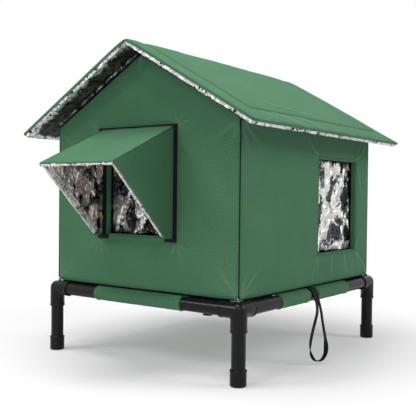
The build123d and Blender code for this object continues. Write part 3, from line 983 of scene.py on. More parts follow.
def add_openings(sizes):
    for name, axis, box, node in (
        ("door_hem", 1, door_box, "door_binding"),
        ("side_hem", 0, side_box, "side_opening_binding"),
    ):
        at, reach = (box[0][axis] + box[1][axis]) / 2, box[1][axis] - box[0][axis]
        add_opening_ring(name, axis, box, at, -0.001, 0.002, 0.002, reach, node)
    # A raised cord of folded cloth frames the side opening on the outside
    add_opening_ring("side_piping", 0, side_box, right + 0.0004, 0.0016, 0.003, 0.0032, 0.0030)

    hinge = {joint["name"]: joint for joint in frame["joints"]}
    door_pin, side_pin = hinge["door_swing"]["pos_m"], hinge["side_swing"]["pos_m"]

    def door_place(across, down, out):
        return across, door_pin[1] - out, door_pin[2] - down

    def side_place(across, down, out):
        return side_pin[0] + out, across, side_pin[2] - down

    for name, across, pin, place, folds, creases, seed, reflected_lines_share in (
        ("door", 0, door_pin, door_place, 5, door_creases, 31, 0.2),
        ("side", 1, side_pin, side_place, 6, side_creases, 37, 0.0),
    ):
        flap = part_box(f"{name}_flap")
        width, height = flap[1][across] - flap[0][across], pin[2] - flap[0].z
        middle = (flap[0][across] + flap[1][across]) / 2
        piece = hanging_foil(
            sizes,
            f"{name}_curtain_foil",
            middle,
            width,
            height,
            folds,
            place,
            creases,
            sizes.seed + seed,
            reflected_lines_share,
        )
        settle(piece, f"{name}_curtain", "foil_foam", f"{name}_flap")
    for name, across in (("door_header", 0), ("side_header", 1)):
        a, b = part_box(name)
        middle = (a + b) / 2
        path = np.array([tuple(middle)] * len(lines(a[across], b[across], 0.01)))
        path[:, across] = lines(a[across], b[across], 0.01)
        thick = b[1 - across] - a[1 - across]
        part = sweep(path, (0, 0, 1), rounded_profile(thick, b.z - a.z, thick * 0.4))
        add_joined(f"{name}_strip", [part], materials["lining foil"], "base", "foil_foam", name)


# Awning


def awning_shape():
    """Height of the awning's lip, and where a side's free edge starts to rise from its bottom."""
    top = frame["nodes"]["awning_top"].data.vertices
    lip = max(v.co.z for v in top if v.co.y < awning_low.y + 0.0002)
    pitch = math.atan2(awning_high.z - lip, awning_high.y - awning_low.y)
    side = frame["nodes"]["awning_side_right"].data.vertices
    foot = min(v.co.y for v in side if v.co.z < awning_foot + 0.0002)
    return awning_high.z - (awning_high.y - awning_low.y) * math.tan(pitch), foot


def add_awning(sizes):
    wall_y, lip_y, top_z = awning_high.y, awning_low.y, awning_high.z
    x0, x1 = awning_low.x, awning_high.x
    lip_z, foot_y = awning_shape()
    cloth, reach = 0.002, 0.17
    across, out = grid(lines(x0, x1, sizes.cloth_step), lines(0, 1, 0.02))
    sag = 0.0022 * np.sin(math.pi * (across - x0) / (x1 - x0)) * np.sin(math.pi * out)
    edge = np.minimum(across - x0, x1 - across)
    drop = rounding(edge, 0.004, 0.002) + rounding((1 - out) * reach, 0.003, 0.0016) + sag
    drop = drop + ripple(across, out * reach, sizes.seed + 3, 0.12, 0.04, 0.0007)
    y = wall_y + (lip_y - wall_y) * out
    z = top_z + (lip_z - top_z) * out - drop
    outer, inner = stacked(across, y, z), stacked(across, y, z - cloth)
    uv = stacked(across, out * reach)
    piece = add_shell("awning_top_cloth", outer, inner, materials["cloth"], uv)
    settle(piece, "awning", "green_cover", "awning_top")

    def side_point(t, down, depth):
        """Place on a side panel: t from the wall to the lip, down from the top to the free edge."""
        side_y = wall_y + (lip_y - wall_y) * t
        high_z = top_z + (lip_z - top_z) * t - depth
        slant = (foot_y - side_y) / (foot_y - lip_y)
        low_z = awning_foot + np.clip(slant, 0, 1) * (lip_z - awning_foot)
        low_z = np.minimum(low_z, high_z - 0.003)
        return side_y, high_z + (low_z - high_z) * down

    t, down = grid(lines(0, 1, 0.02), lines(0, 1, 0.02))
    for name, other, x, outward in (("left", "right", x0, -1), ("right", "left", x1, 1)):
        y, z = side_point(t, down, 0.0012)
        bow = 0.0018 * np.sin(math.pi * t) * np.sin(math.pi * down)
        round_edge = rounding((z[:, :1] - z) + 0.0003, 0.004, 0.002)
        x_out = x + outward * (bow - round_edge)
        outer, inner = stacked(x_out, y, z), stacked(x_out - outward * cloth * 0.9, y, z)
        piece = add_shell(f"awning_{name}_cloth", outer, inner, materials["cloth"], stacked(y, z))
        settle(piece, "awning", "green_cover", f"awning_side_{name}")

    # Foil inside: both sides and the underside of the top
    parts = []
    for x, inward in ((x0 + cloth, 1), (x1 - cloth, -1)):
        y, z = side_point(t, down * 0.985, 0.0034)
        rough = crumpled(y * 1.8, z * 0.5, 0.02, sizes.seed + 40, 0.0018)
        lift = 0.0018 + np.clip(rough, -0.0012, 0.0022)
        outer, inner = stacked(x + inward * lift, y, z), stacked(x + inward * 0.0002, y, z)
        parts.append(shell_part(outer, inner, stacked(y, z), turned=inward < 0))
    across, out = grid(lines(x0 + 0.004, x1 - 0.004, 0.004), lines(0, 1, 0.025))
    rough = np.clip(crumpled(across, out * reach, 0.02, sizes.seed + 43, 0.0018), -0.001, 0.002)
    y = wall_y + (lip_y - wall_y) * out
    z = top_z + (lip_z - top_z) * out - cloth - 0.0045
    outer, inner = stacked(across, y, z - 0.0012 - rough), stacked(across, y, z)
    parts.append(shell_part(outer, inner, stacked(across, out), turned=True))
    points, faces, uv = joined(parts)
    piece = add_piece("awning_foil", points, faces, materials["awning foil"], uv, smooth=False)
    settle(piece, "awning", "foil_foam", "awning_lining")

    # A foil hem on the inside of each slanting edge, seen from outside as a thin line; its bright white
    # is a painted highlight
    band, thin, seen = 0.015, 0.0040, 0.0016
    slant = math.atan2(lip_z - awning_foot, foot_y - lip_y)
    back_off = (band / 2 - seen) * math.sin(slant)
    lift_off = (band / 2 - seen) * math.cos(slant)
    share = lines(0.03, 0.97, 0.02)
    wobble = ripple(share * 0.2, 0, sizes.seed + 50, 0.05, 0.012, 0.0014)
    parts = []
    for x, inward in ((x0 + cloth, 1), (x1 - cloth, -1)):
        path = stacked(
            x + inward * (0.0034 + 0.3 * wobble),
            foot_y + (lip_y + 0.002 - foot_y) * share + back_off,
            awning_foot + (lip_z - 0.003 - awning_foot) * share + lift_off + 0.4 * wobble,
        )
        parts.append(sweep(path, (0, 0, 1), rounded_profile(thin, band, 0.0017)))
    share = lines(0, 1, 0.015)
    wobble = ripple(share * 0.18, 0, sizes.seed + 53, 0.06, 0.012, 0.0010)
    path = stacked(
        x0 + 0.001 + (x1 - x0 - 0.002) * share,
        lip_y + 0.0012 + 0.3 * wobble,
        lip_z - 0.0042 + 0.4 * wobble,
    )
    parts.append(sweep(path, (0, 0, 1), rounded_profile(0.0022, 0.0058, 0.0009)))
    add_joined("awning_hem", parts, materials["hem foil"], "awning", "foil_foam")

    # Sewn seams where the top meets the sides
    parts = []
    t = lines(0.01, 0.99, 0.04)
    for x in (x0 + 0.0006, x1 - 0.0006):
        y, z = wall_y + (lip_y - wall_y) * t - 0.0006, top_z + (lip_z - top_z) * t - 0.0016
        parts.append(sweep(stacked(x, y, z), (0, 0, 1), rounded_profile(0.0013, 0.0013, 0.0006)))
    add_joined("awning_seams", parts, materials["thread"], "awning", "green_cover")


def add_tapes():
    """Tapes round the awning: flat ribbed strips with their lower ends turned in."""
    thick, above, width = 0.0014, 0.0016, 0.020
    y = front - thick / 2 - 0.0001
    out = (0, -1, 0)
    for name in ("top", "left", "right"):
        node = f"awning_tape_{name}"
        a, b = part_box(node)
        if name == "top":
            path = [(x, y - 0.0004, (a.z + b.z + above) / 2) for x in lines(a.x, b.x, 0.008)]
            parts = [sweep(path, out, rounded_profile(b.z - a.z + above, thick, 0.0005))]
        else:
            edge = door_box[0].x - 0.0012 if name == "left" else b.x
            path = [(edge - width / 2, y, z) for z in lines(a.z, b.z, 0.008)]
            parts = [sweep(path, out, rounded_profile(width, thick, 0.0005))]
            stub = [(x, y - 0.0006, a.z + 0.004) for x in lines(a.x, b.x, 0.004)]
            parts.append(sweep(stub, out, rounded_profile(0.0085, thick * 1.4, 0.0008)))
        add_joined(f"{node}_webbing", parts, materials["tape"], "base", "black_tape", node)


# Roof


def roof_relief(sizes, x, y):
    """How far the roof cloth stands out from its plane, and the mark of its stitched groove, which paints
    shade into the groove.
    """
    run, end = np.abs(x) / math.cos(slope), eave_out / math.cos(slope)
    inset = sizes.crease_in
    edge = np.minimum(np.minimum(y - roof_front, roof_back - y), end - run)
    to_crease = edge - inset
    puff = 0.0022 * (1 - np.exp(-np.clip(to_crease, 0, 1) / 0.012)) * (to_crease > 0)
    brim_puff = 0.0010 * np.exp(-(((to_crease + inset / 2) / (inset * 0.35)) ** 2))
    groove = -0.0016 * np.exp(-((to_crease / 0.0026) ** 2))
    soft = ripple(x, y, sizes.seed + 60, 0.25, 0.06, 0.0010)
    lip = -rounding(edge, 0.003, 0.0016)
    return puff + brim_puff + groove + soft + lip, groove / 0.0016


# Folds of the right slope, from the front wall: start and end across and back, width and height
roof_folds = (
    ((0.246, 0.010), (0.283, 0.070), 0.005, 0.0018),
    ((0.243, 0.060), (0.283, 0.140), 0.006, 0.0020),
    ((0.242, 0.130), (0.283, 0.235), 0.006, 0.0018),
    ((0.205, 0.080), (0.238, 0.330), 0.006, 0.0016),
    ((0.243, 0.240), (0.283, 0.300), 0.006, 0.0012),
    ((0.243, 0.360), (0.283, 0.460), 0.006, 0.0012),
    ((0.030, -0.044), (0.060, -0.004), 0.005, 0.0012),
    ((0.110, -0.042), (0.170, -0.006), 0.005, 0.0012),
    ((0.190, -0.040), (0.246, 0.006), 0.005, 0.0016),
)


def roof_layer(x, y, depth, soft):
    """Points of a layer of the roof that lies depth under its outside."""
    lean = np.tanh(x / soft)
    up = roof_height(x, 0, soft) - depth * math.cos(slope)
    return stacked(x - depth * math.sin(slope) * lean, y, up)


def add_roof_cloth(sizes):
    """One sheet over both slopes, bent softly over the ridge and sewn down near its edges."""
    step, soft = sizes.cloth_step, sizes.ridge_round
    x, y = grid(lines(-eave_out, eave_out, step, 0.0), lines(roof_front, roof_back, step))
    out, groove = roof_relief(sizes, x, y)
    on_right, on_left = 0, 0
    for a, b, width, height in roof_folds:
        on_right = on_right + fold(x, y, (a[0], front + a[1]), (b[0], front + b[1]), width, height)
        on_left = on_left + fold(-x, y, (a[0], back - a[1]), (b[0], back - b[1]), width, height)
    wrinkles = 1.5 * on_right + on_left
    out = out + wrinkles
    outer, inner = roof_layer(x, y, -out, soft), roof_layer(x, y, 0.0016 + 0 * out, soft)
    uv = stacked(x / math.cos(slope), y)
    # Painted highlight on the wrinkle ridges, painted shade in the wrinkle hollows and, darker still, in
    # the stitched groove
    marks = [("Fold", np.clip(wrinkles / 0.0016, -1, 1) + 2.2 * groove)]
    piece = add_shell("roof_cloth", outer, inner, materials["cloth"], uv, None, marks)
    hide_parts("roof_cover_left", "roof_cover_right")
    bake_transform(piece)

    # Turned hem of the cloth, round the outer edges of each slope
    drop, inside, step = 0.0030, 0.0007, 0.012
    xs = lines(0.004, eave_out - inside, step)
    ys = lines(roof_front + inside, roof_back - inside, step)
    edge = [(x, roof_front + inside) for x in xs]
    edge += [(eave_out - inside, y) for y in ys[1:-1]]
    edge += [(x, roof_back - inside) for x in xs[::-1]]
    for name, side, body in ROOF_SIDES:
        path = [(side * x, y, roof_height(x, drop, sizes.ridge_round)) for x, y in edge[::side]]
        tilt = (side * math.sin(slope), 0, math.cos(slope))
        part = sweep(path, tilt, rounded_profile(0.0018, 0.0052, 0.0008))
        add_joined(f"roof_hem_{name}", [part], materials["cloth"], body, "green_cover")


def roof_block(sizes, name, side, x_range, y_range, depth_range, seed, height, material, step):
    """A foil-faced slab of one slope, crumpled all over; depth is counted from the outside."""
    a, b = lines(*x_range, step), lines(*y_range, step)
    c = lines(*depth_range, 0.0028)
    x, y, depth = grid(a, b, c)
    rough = crumpled(x + 1.7 * depth, y + 0.8 * depth, 0.016, seed, height)
    end, ends, under = (x == a[-1]) * 1.0, (y == b[0]) * -1.0 + (y == b[-1]) * 1.0, (depth == c[-1]) * 1.0
    soft = sizes.ridge_round
    away = np.clip(x / 0.02, 0, 1)
    x_new = x + end * rough - (depth + under * rough * away) * math.sin(slope) * away
    z_new = roof_height(x, 0, soft) - (depth + under * rough) * math.cos(slope)
    points = np.stack([side * x_new, y + ends * rough, z_new], -1).reshape(-1, 3)
    faces = block_faces(len(a) - 1, len(b) - 1, len(c) - 1)
    # Painted reflection: the underside is painted dark green, as if it mirrored the dark walls, all but a
    # ragged strip along the outer edges
    edge = np.minimum(np.minimum(y - roof_front, roof_back - y), eave_out - x)
    ragged = 0.009 + ripple(x, y, seed + 9, 0.05, 0.008, 0.012)
    shade = under * np.clip((edge - ragged) / 0.003, 0, 1)
    return add_piece(name, points, faces, material, marks=[("Shade", shade)], smooth=False)


def add_roof_foil(sizes):
    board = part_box("roof_board_right")
    outer_x, outer_y = (0.0006, eave_out - 0.0006), (roof_front + 0.0008, roof_back - 0.0008)
    pad_x, pad_y = (0.0012, board[1].x), (board[0].y, board[1].y)
    brim, pad_depth = (0.0036, sizes.brim), (sizes.brim + 0.0018, 0.0192)
    edge, lining = materials["edge foil"], materials["lining foil"]
    for name, side, body in ROOF_SIDES:
        for piece, node, slot, x, y, depth, seed, height, material, step, fill in (
            ("foil", "lining", "foil_foam", outer_x, outer_y, brim, 70, 0.0015, edge, 0.004, 0.7),
            ("pad", "board", "foam_board", pad_x, pad_y, pad_depth, 74, 0.0007, lining, 0.0055, 0.9),
        ):
            piece = f"roof_{piece}_{name}"
            seed = sizes.seed + seed
            made = roof_block(sizes, piece, side, x, y, depth, seed, height, material, step)
            settle(made, body, slot, f"roof_{node}_{name}")


def soft_copy(node, name, material, slot, body, round_by=0.0003):
    """A merged copy of a CAD piece with softened edges, for tapes, pipes and fittings."""
    mesh = frame["nodes"][node].data.copy()
    mesh.name = name
    work = bmesh.new()
    work.from_mesh(mesh)
    bmesh.ops.remove_doubles(work, verts=work.verts, dist=0.00001)
    work.to_mesh(mesh)
    work.free()
    mesh.shade_smooth()
    mesh.set_sharp_from_angle(angle=math.radians(32))
    mesh.materials.clear()
    mesh.materials.append(material)
    piece = add_object(name, mesh)
    if round_by:
        bevel = piece.modifiers.new("softened edges", "BEVEL")
        bevel.width = round_by
        bevel.segments = 2
        bevel.limit_method = "ANGLE"
    return settle(piece, body, slot, node)


def add_hook_tapes():
    for node, name, body in (
        ("gable_hook_tape", "gable_hook_strips", "base"),
        ("eave_hook_tape", "eave_hook_strips", "base"),
        ("roof_loop_tape_left", "roof_loop_strips_left", "roof"),
        ("roof_loop_tape_right", "roof_loop_strips_right", "roof_flap"),
    ):
        soft_copy(node, name, materials["hook tape"], "black_tape", body)


def add_floor_pieces(sizes):
    for node, name, rough_by, material, slot in (
        ("floor_cover", "floor_cloth", 0.0, materials["cloth"], "green_cover"),
        ("floor_board", "floor_foil", sizes.crumple * 0.5, materials["lining foil"], "foil_foam"),
    ):
        a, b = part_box(node)
        x, y = grid(lines(a.x, b.x, 0.006), lines(a.y, b.y, 0.006))
        rough = crumpled(x, y, 0.03, sizes.seed + 80, rough_by) - rough_by
        outer, inner = stacked(x, y, b.z + rough), stacked(x, y, a.z + 0 * x)
        piece = add_shell(name, outer, inner, material, stacked(x, y))
        settle(piece, "base", slot, node)


def add_corner_seams(sizes):
    """A thin dark cord in each upright corner, and the small tab that ends it."""
    inset = sizes.seam - 0.0006
    heights = lines(wall_bottom + 0.004, wall_top(right) - 0.001, 0.012)
    cords, tabs = [], []
    for sx, y, inward in CORNERS:
        path = stacked(sx * (right - inset), y + inward * inset, heights)
        cords.append(sweep(path, (0, 1, 0), rounded_profile(0.0022, 0.0022, 0.001)))
        corner = Vector((sx * (right - 0.004), y + inward * 0.004, wall_bottom - 0.0005))
        across = Vector((sx, inward * 1.0, 0)).normalized() * 0.0065
        middle = corner + Vector((sx, -inward, 0)).normalized() * 0.001
        path = [middle - across, middle - across * 0.4, middle + across * 0.4, middle + across]
        tabs.append(sweep(path, (0, 0, 1), rounded_profile(0.005, 0.0034, 0.0014)))
    add_joined("corner_seams", cords, materials["tape"], "base", "black_tape", "corner_piping")
    add_joined("corner_tabs", tabs, materials["cloth"], "base", "green_cover")


def add_shade_strips():
    """Black strips that stand in for shade under the walls, and under the floor where the deck's corners
    are cut off, so that no floor shows through the gaps there.
    """
    up = (0, 0, 1)
    inset = 0.0075
    pairs = rectangle_path(-right + inset, right - inset, front + inset, back - inset, 0.006)
    path = [(x, y, wall_bottom - 0.0015) for x, y in pairs]
    parts = [sweep(path, up, rounded_profile(0.003, 0.0034, 0.0009), closed=True)]
    inset, reach, run = 0.0115, 0.014, 0.117
    for sx, y, inward in CORNERS:
        corner = (sx * (right - inset), y + inward * inset)
        across = [(corner[0] - sx * d, corner[1]) for d in (reach, run)]
        along = [(corner[0], corner[1] + inward * d) for d in (reach, run)]
        for ends in (across, along):
            path = [(*end, wall_bottom - 0.0051) for end in ends]
            parts.append(sweep(path, up, rounded_profile(0.0014, 0.0042, 0.0006)))
    add_joined("bottom_binding", parts, materials["tape"], "base", "black_tape")


# Stand and deck


def collar(centre, axis, start, end, radius, rise):
    """A raised band round a fitting from start to end along its axis."""
    centre, axis = np.array(centre, float), np.array(axis, float)
    side = np.cross(axis, (0.31, 0.52, 0.79))
    side = side / np.linalg.norm(side)
    other = np.cross(axis, side)
    turns = np.arange(48) / 48 * TAU
    path = centre + radius * (np.cos(turns)[:, None] * side + np.sin(turns)[:, None] * other)
    path = path + axis * (start + end) / 2
    return sweep(path, axis, rounded_profile(rise * 2, end - start, rise * 0.8), closed=True)


def add_stand():
    """Pipes, caps and elbows: merged copies of the CAD pieces, with moulded bands on the fittings."""
    fitting = materials["fitting"]
    elbow_radius, sink = 0.0145, 0.0001
    for node in frame["nodes"]:
        if node.startswith(("leg_", "rail_")):
            soft_copy(node, f"{node}_pipe", materials["pipe"], "black_pipe", "base", 0)
            continue
        if not node.startswith(("foot_cap_", "elbow_")):
            continue
        soft_copy(node, f"{node}_moulding", fitting, "black_fitting", "base", 0)
        a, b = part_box(node)
        if node.startswith("foot_cap_"):
            middle = ((a.x + b.x) / 2, (a.y + b.y) / 2, 0)
            radius = (b.x - a.x) / 2 - sink
            bands = [collar(middle, (0, 0, 1), b.z - 0.0046, b.z - 0.0008, radius, 0.0006)]
        else:
            sx, sy = 1 if a.x > 0 else -1, 1 if a.y > 0 else -1
            corner = (sx * right, back if sy > 0 else front, rail_height)
            mouth = (b.z - a.z) - elbow_radius
            bands = [
                collar(corner, axis, mouth - 0.0055, mouth - 0.0006, elbow_radius - sink, 0.0007)
                for axis in ((-sx, 0, 0), (0, -sy, 0), (0, 0, -1))
            ]
        add_joined(f"{node}_moulding_bands", bands, fitting, "base", "black_fitting")


def add_deck(sizes):
    """Cloth deck: a sheet with its corners cut off, and a sleeve sewn round each rail."""
    a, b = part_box("deck_cloth")
    top, radius = b.z - 0.0003, (b.z - a.z) / 2
    cut_x, cut_y = right - 0.120, 0.125
    rows = lines(front, back, 0.006, front + cut_y, back - cut_y)
    near = np.clip(np.minimum(rows - front, back - rows) / cut_y, 0, 1)
    half = cut_x + (right - cut_x) * near
    x = np.linspace(-1, 1, 81)[:, None] * half[None, :]
    y = np.broadcast_to(rows[None, :], x.shape)
    sag = ripple(x, y, sizes.seed + 90, 0.2, 0.06, 0.0004)
    outer, inner = stacked(x, y, top + sag - 0.0006), stacked(x, y, top + sag - 0.0016)
    parts = [shell_part(outer, inner, stacked(x, y), turned=True)]
    notch_low, notch_high = 0.0325, 0.0645
    runs = (
        ((-cut_x, front), (cut_x, front), (0, 1)),
        ((-cut_x, back), (cut_x, back), (0, -1)),
        ((-right, front + cut_y), (-right, back - cut_y), (1, 0)),
        ((right, front + cut_y), (right, notch_low), (-1, 0)),
        ((right, notch_high), (right, back - cut_y), (-1, 0)),
    )
    for start, end, inward in runs:
        parts.append(sleeve(start, end, inward, radius, sizes.seed))
    points, faces, uv = joined(parts)
    piece = add_piece("deck_sheet", points, faces, materials["cloth"], uv)
    settle(piece, "base", "green_cover", "deck_cloth")


def sleeve(start, end, inward, radius, seed):
    """Cloth wrapped round a rail and sewn back under the deck, its ends hemmed."""
    span = math.dist(start, end)
    around, run = grid(np.radians(np.arange(90, -196, -7.5)), lines(0, span, 0.003))
    to_end = np.minimum(run, span - run)
    hem = 0.0009 * np.exp(-(((to_end - 0.004) / 0.0022) ** 2))
    loose = ripple(around * 0.02, run, seed + 95, 0.09, 0.02, 0.0005)
    outside_radius = radius - 0.0004 + hem + loose
    shut = -rounding(to_end + 0.0002, 0.0016, 0.0009)
    points = []
    for r in (outside_radius + shut, pipe_radius + 0.0003 + 0 * run):
        out = r * np.cos(around)
        x = start[0] + (end[0] - start[0]) * run / span - inward[0] * out
        y = start[1] + (end[1] - start[1]) * run / span - inward[1] * out
        points.append(np.stack([x, y, rail_height + r * np.sin(around)], -1).reshape(-1, 3))
    faces = shell_faces(around.shape)
    points = np.concatenate(points)
    uv = stacked(around * radius, run).reshape(-1, 2)
    return points, outward_faces(points, faces).tolist(), np.concatenate([uv, uv])


def outward_faces(points, faces):
    """The faces of a closed shell, turned so that they enclose a positive volume."""
    a, b, c, d = (points[faces[:, i]] for i in range(4))
    volume = (a * np.cross(b, c)).sum() + (a * np.cross(c, d)).sum()
    return faces if volume > 0 else faces[:, ::-1]


# Tie strap

STRAP_APART = 0.0096
STRAP_EXIT = (0.244051, 0.0437, 0.122999)


def strap_route():
    """The loop's control points: x from the exit, y from the strap's middle, height."""
    exit_height = STRAP_EXIT[2] * 1000
    offsets = (
        (0.0, -4.8, exit_height),
        (6.8, -4.8, 104.316),
        (4.5, -16.5, 75.0),
        (4.0, -30.5, 46.0),
        (6.3, -37.0, 24.0),
        (13.5, -31.5, 6.0),
        (21.5, -15.5, 6.0),
        (24.3, -3.0, 21.0),
        (20.0, 1.0, 46.0),
        (13.0, 1.8, 75.0),
        (6.8, 4.8, 104.316),
        (0.0, 4.8, exit_height),
    )
    middle_y = STRAP_EXIT[1] + STRAP_APART / 2
    return [(STRAP_EXIT[0] + x * MM, middle_y + y * MM, z * MM) for x, y, z in offsets]


def smooth_line(route):
    """Points of the smooth curve that a route of control points makes."""
    curve = bpy.data.curves.new("strap_line", "CURVE")
    curve.dimensions = "3D"
    curve.resolution_u = 12
    spline = curve.splines.new("NURBS")
    spline.points.add(len(route) - 1)
    for point, place in zip(spline.points, route):
        point.co = (*place, 1)
    spline.order_u = 3
    spline.use_endpoint_u = True
    holder = bpy.data.objects.new("strap_line", curve)
    mesh = bpy.data.meshes.new_from_object(holder)
    line = np.array([v.co for v in mesh.vertices], float)
    bpy.data.objects.remove(holder)
    bpy.data.curves.remove(curve)
    bpy.data.meshes.remove(mesh)
    return line


def add_strap(sizes):
    """The free loop, twisted so that it bends flat, and the flat ends over the rail."""
    line = smooth_line(strap_route())
    share = np.linspace(0, 1, len(line))
    centre = np.array([line[:, 0].mean(), line[:, 1].mean(), 0.04])
    towards = centre - line
    towards[:, 0] *= 0.2
    towards = towards / np.linalg.norm(towards, axis=1, keepdims=True)
    outward = np.array([1.0, 0.0, 0.15])
    turned = np.clip((share - 0.26) / 0.16, 0, 1) * np.clip((0.78 - share) / 0.16, 0, 1)
    turned = turned * turned * (3 - 2 * turned)
    up = outward * (1 - turned)[:, None] + towards * turned[:, None]
    profile = rounded_profile(sizes.strap_width, sizes.strap_thickness, 0.0006, 3)
    parts, strap = [sweep(line, up, profile)], materials["strap"]
    loop = add_joined("tie_loop_strap", parts, strap, "base", "black_strap", "tie_loop")
    exit_x, first_y, exit_z = STRAP_EXIT
    arc = pipe_radius + 0.001
    leave = math.radians(20)
    parts = []
    for y in (first_y, first_y + STRAP_APART):
        path = [(right - x, y, rail_height + arc) for x in (0.0105, 0.007, 0.0035)]
        for angle in np.linspace(math.pi / 2, leave, 14):
            path.append((right + arc * math.cos(angle), y, rail_height + arc * math.sin(angle)))
        last = path[-1]
        for step in (0.34, 0.67, 1.0):
            path.append((last[0] + (exit_x - last[0]) * step, y, last[2] + (exit_z - last[2]) * step))
        path = np.array(path)
        ahead = np.gradient(path, axis=0)
        normal = np.stack([-ahead[:, 2], 0 * ahead[:, 1], ahead[:, 0]], -1)
        parts.append(sweep(path, normal, profile))
    add_joined("tie_strap_flat", parts, strap, "base", "black_strap", "tie_strap_ends")


# Stitches


def stitch_tree():
    """Geometry nodes that set one stitch at each step along the edges of a line."""
    tree = bpy.data.node_groups.new("stitches along a line", "GeometryNodeTree")
    tree.is_modifier = True
    add_socket = tree.interface.new_socket
    add_socket("Line", in_out="INPUT", socket_type="NodeSocketGeometry")
    for label, default in (("Spacing", 0.004), ("Length", 0.0028), ("Thickness", 0.0006)):
        add_socket(label, in_out="INPUT", socket_type="NodeSocketFloat").default_value = default
    add_socket("Thread", in_out="INPUT", socket_type="NodeSocketMaterial")
    add_socket("Stitches", in_out="OUTPUT", socket_type="NodeSocketGeometry")
    new = tree.nodes.new
    start, end = new("NodeGroupInput"), new("NodeGroupOutput")
    curve, spaced = new("GeometryNodeMeshToCurve"), new("GeometryNodeResampleCurve")
    spaced.mode = "LENGTH"
    bead, place = new("GeometryNodeMeshUVSphere"), new("GeometryNodeInstanceOnPoints")
    bead.inputs["Segments"].default_value = 6
    bead.inputs["Rings"].default_value = 4
    bead.inputs["Radius"].default_value = 0.5
    tangent, aim = new("GeometryNodeInputTangent"), new("FunctionNodeAlignRotationToVector")
    aim.axis = "Z"
    size = new("ShaderNodeCombineXYZ")
    real, paint = new("GeometryNodeRealizeInstances"), new("GeometryNodeSetMaterial")
    for source, output, target, entry in (
        (start, "Line", curve, "Mesh"),
        (curve, "Curve", spaced, "Curve"),
        (start, "Spacing", spaced, "Length"),
        (spaced, "Curve", place, "Points"),
        (bead, "Mesh", place, "Instance"),
        (tangent, "Tangent", aim, "Vector"),
        (aim, "Rotation", place, "Rotation"),
        (start, "Thickness", size, "X"),
        (start, "Thickness", size, "Y"),
        (start, "Length", size, "Z"),
        (size, "Vector", place, "Scale"),
        (place, "Instances", real, "Geometry"),
        (real, "Geometry", paint, "Geometry"),
        (start, "Thread", paint, "Material"),
        (paint, "Geometry", end, "Stitches"),
    ):
        tree.links.new(source.outputs[output], target.inputs[entry])
    return tree


def add_stitches(sizes, tree, name, paths, thread, body, slot):
    """Rows of stitches along open lines of points, as one plain mesh."""
    points, edges = [], []
    for path in paths:
        first = len(points)
        points += [tuple(p) for p in path]
        edges += [(i, i + 1) for i in range(first, len(points) - 1)]
    mesh = bpy.data.meshes.new(f"{name}_line")
    mesh.from_pydata(points, edges, [])
    holder = add_object(f"{name}_line", mesh)
    modifier = holder.modifiers.new("stitches", "NODES")
    modifier.node_group = tree
    values = {
        "Spacing": sizes.stitch_spacing,
        "Length": sizes.stitch_length,
        "Thickness": 0.0007,
        "Thread": thread,
    }
    for item in tree.interface.items_tree:
        if item.in_out == "INPUT" and item.name in values:
            modifier[item.identifier] = values[item.name]
    seen = holder.evaluated_get(bpy.context.evaluated_depsgraph_get())
    made = add_object(name, bpy.data.meshes.new_from_object(seen))
    made.data.name = name
    bpy.data.objects.remove(holder)
    made.data.shade_smooth()
    settle(made, body, slot)


def add_all_stitches(sizes):
    tree = stitch_tree()
    inset, soft = sizes.crease_in, sizes.ridge_round
    reach = eave_out - inset * math.cos(slope)

    def on_roof(x, y):
        x, y = np.broadcast_arrays(np.asarray(x, float), np.asarray(y, float))
        return roof_layer(x, y, -roof_relief(sizes, x, y)[0], soft)

    xs, ys = lines(0.02, reach, 0.01), lines(roof_front + inset, roof_back - inset, 0.01)
    for name, side, body in ROOF_SIDES:
        paths = [on_roof(side * xs, y) for y in (roof_front + inset, roof_back - inset)]
        paths.append(on_roof(side * reach, ys))
        name = f"roof_stitches_{name}"
        add_stitches(sizes, tree, name, paths, materials["thread"], body, "green_cover")
    away = 0.0052
    limits = (side_low.y - away, side_high.y + away, side_low.z - away, side_high.z + away)
    pairs = rectangle_path(*limits, 0.003)
    ring = [(right + 0.0003, a, b) for a, b in [*pairs, pairs[0]]]
    heights = lines(tape_right[0].z + 0.002, tape_right[1].z - 0.002, 0.02)
    tape = [(tape_right[1].x - 0.0014, front - 0.0016, z) for z in heights]
    for name, path, thread, slot in (
        ("side_stitches", ring, "thread", "green_cover"),
        ("tape_stitches", tape, "hook tape", "black_tape"),
    ):
        add_stitches(sizes, tree, name, [path], materials[thread], "base", slot)


# Stage


def set_camera(view):
    camera = bpy.data.cameras.new("photo_view")
    camera.lens = view.lens
    camera.sensor_width = 36.0
    holder = add_object("photo_view", camera)
    bpy.context.scene.camera = holder
    flat = math.cos(view.pitch)
    ahead = Vector((-math.sin(view.yaw) * flat, math.cos(view.yaw) * flat, math.sin(view.pitch)))
    level = Vector((math.cos(view.yaw), math.sin(view.yaw), 0))
    above = level.cross(ahead)
    across = level * math.cos(view.roll) + above * math.sin(view.roll)
    up = above * math.cos(view.roll) - level * math.sin(view.roll)
    aim = Matrix((across, up, -ahead)).transposed()
    holder.matrix_world = Matrix.Translation(view.place) @ aim.to_4x4()


def seen_as_background(tree):
    """1 for rays from the camera and for reflected or refracted ones."""
    path = tree.nodes.new("ShaderNodeLightPath").outputs
    camera, glossy, clear = (
        Value(path[f"Is {kind} Ray"]) for kind in ("Camera", "Glossy", "Transmission")
    )
    return calc("ADD", camera + glossy, clear, clamp=True)


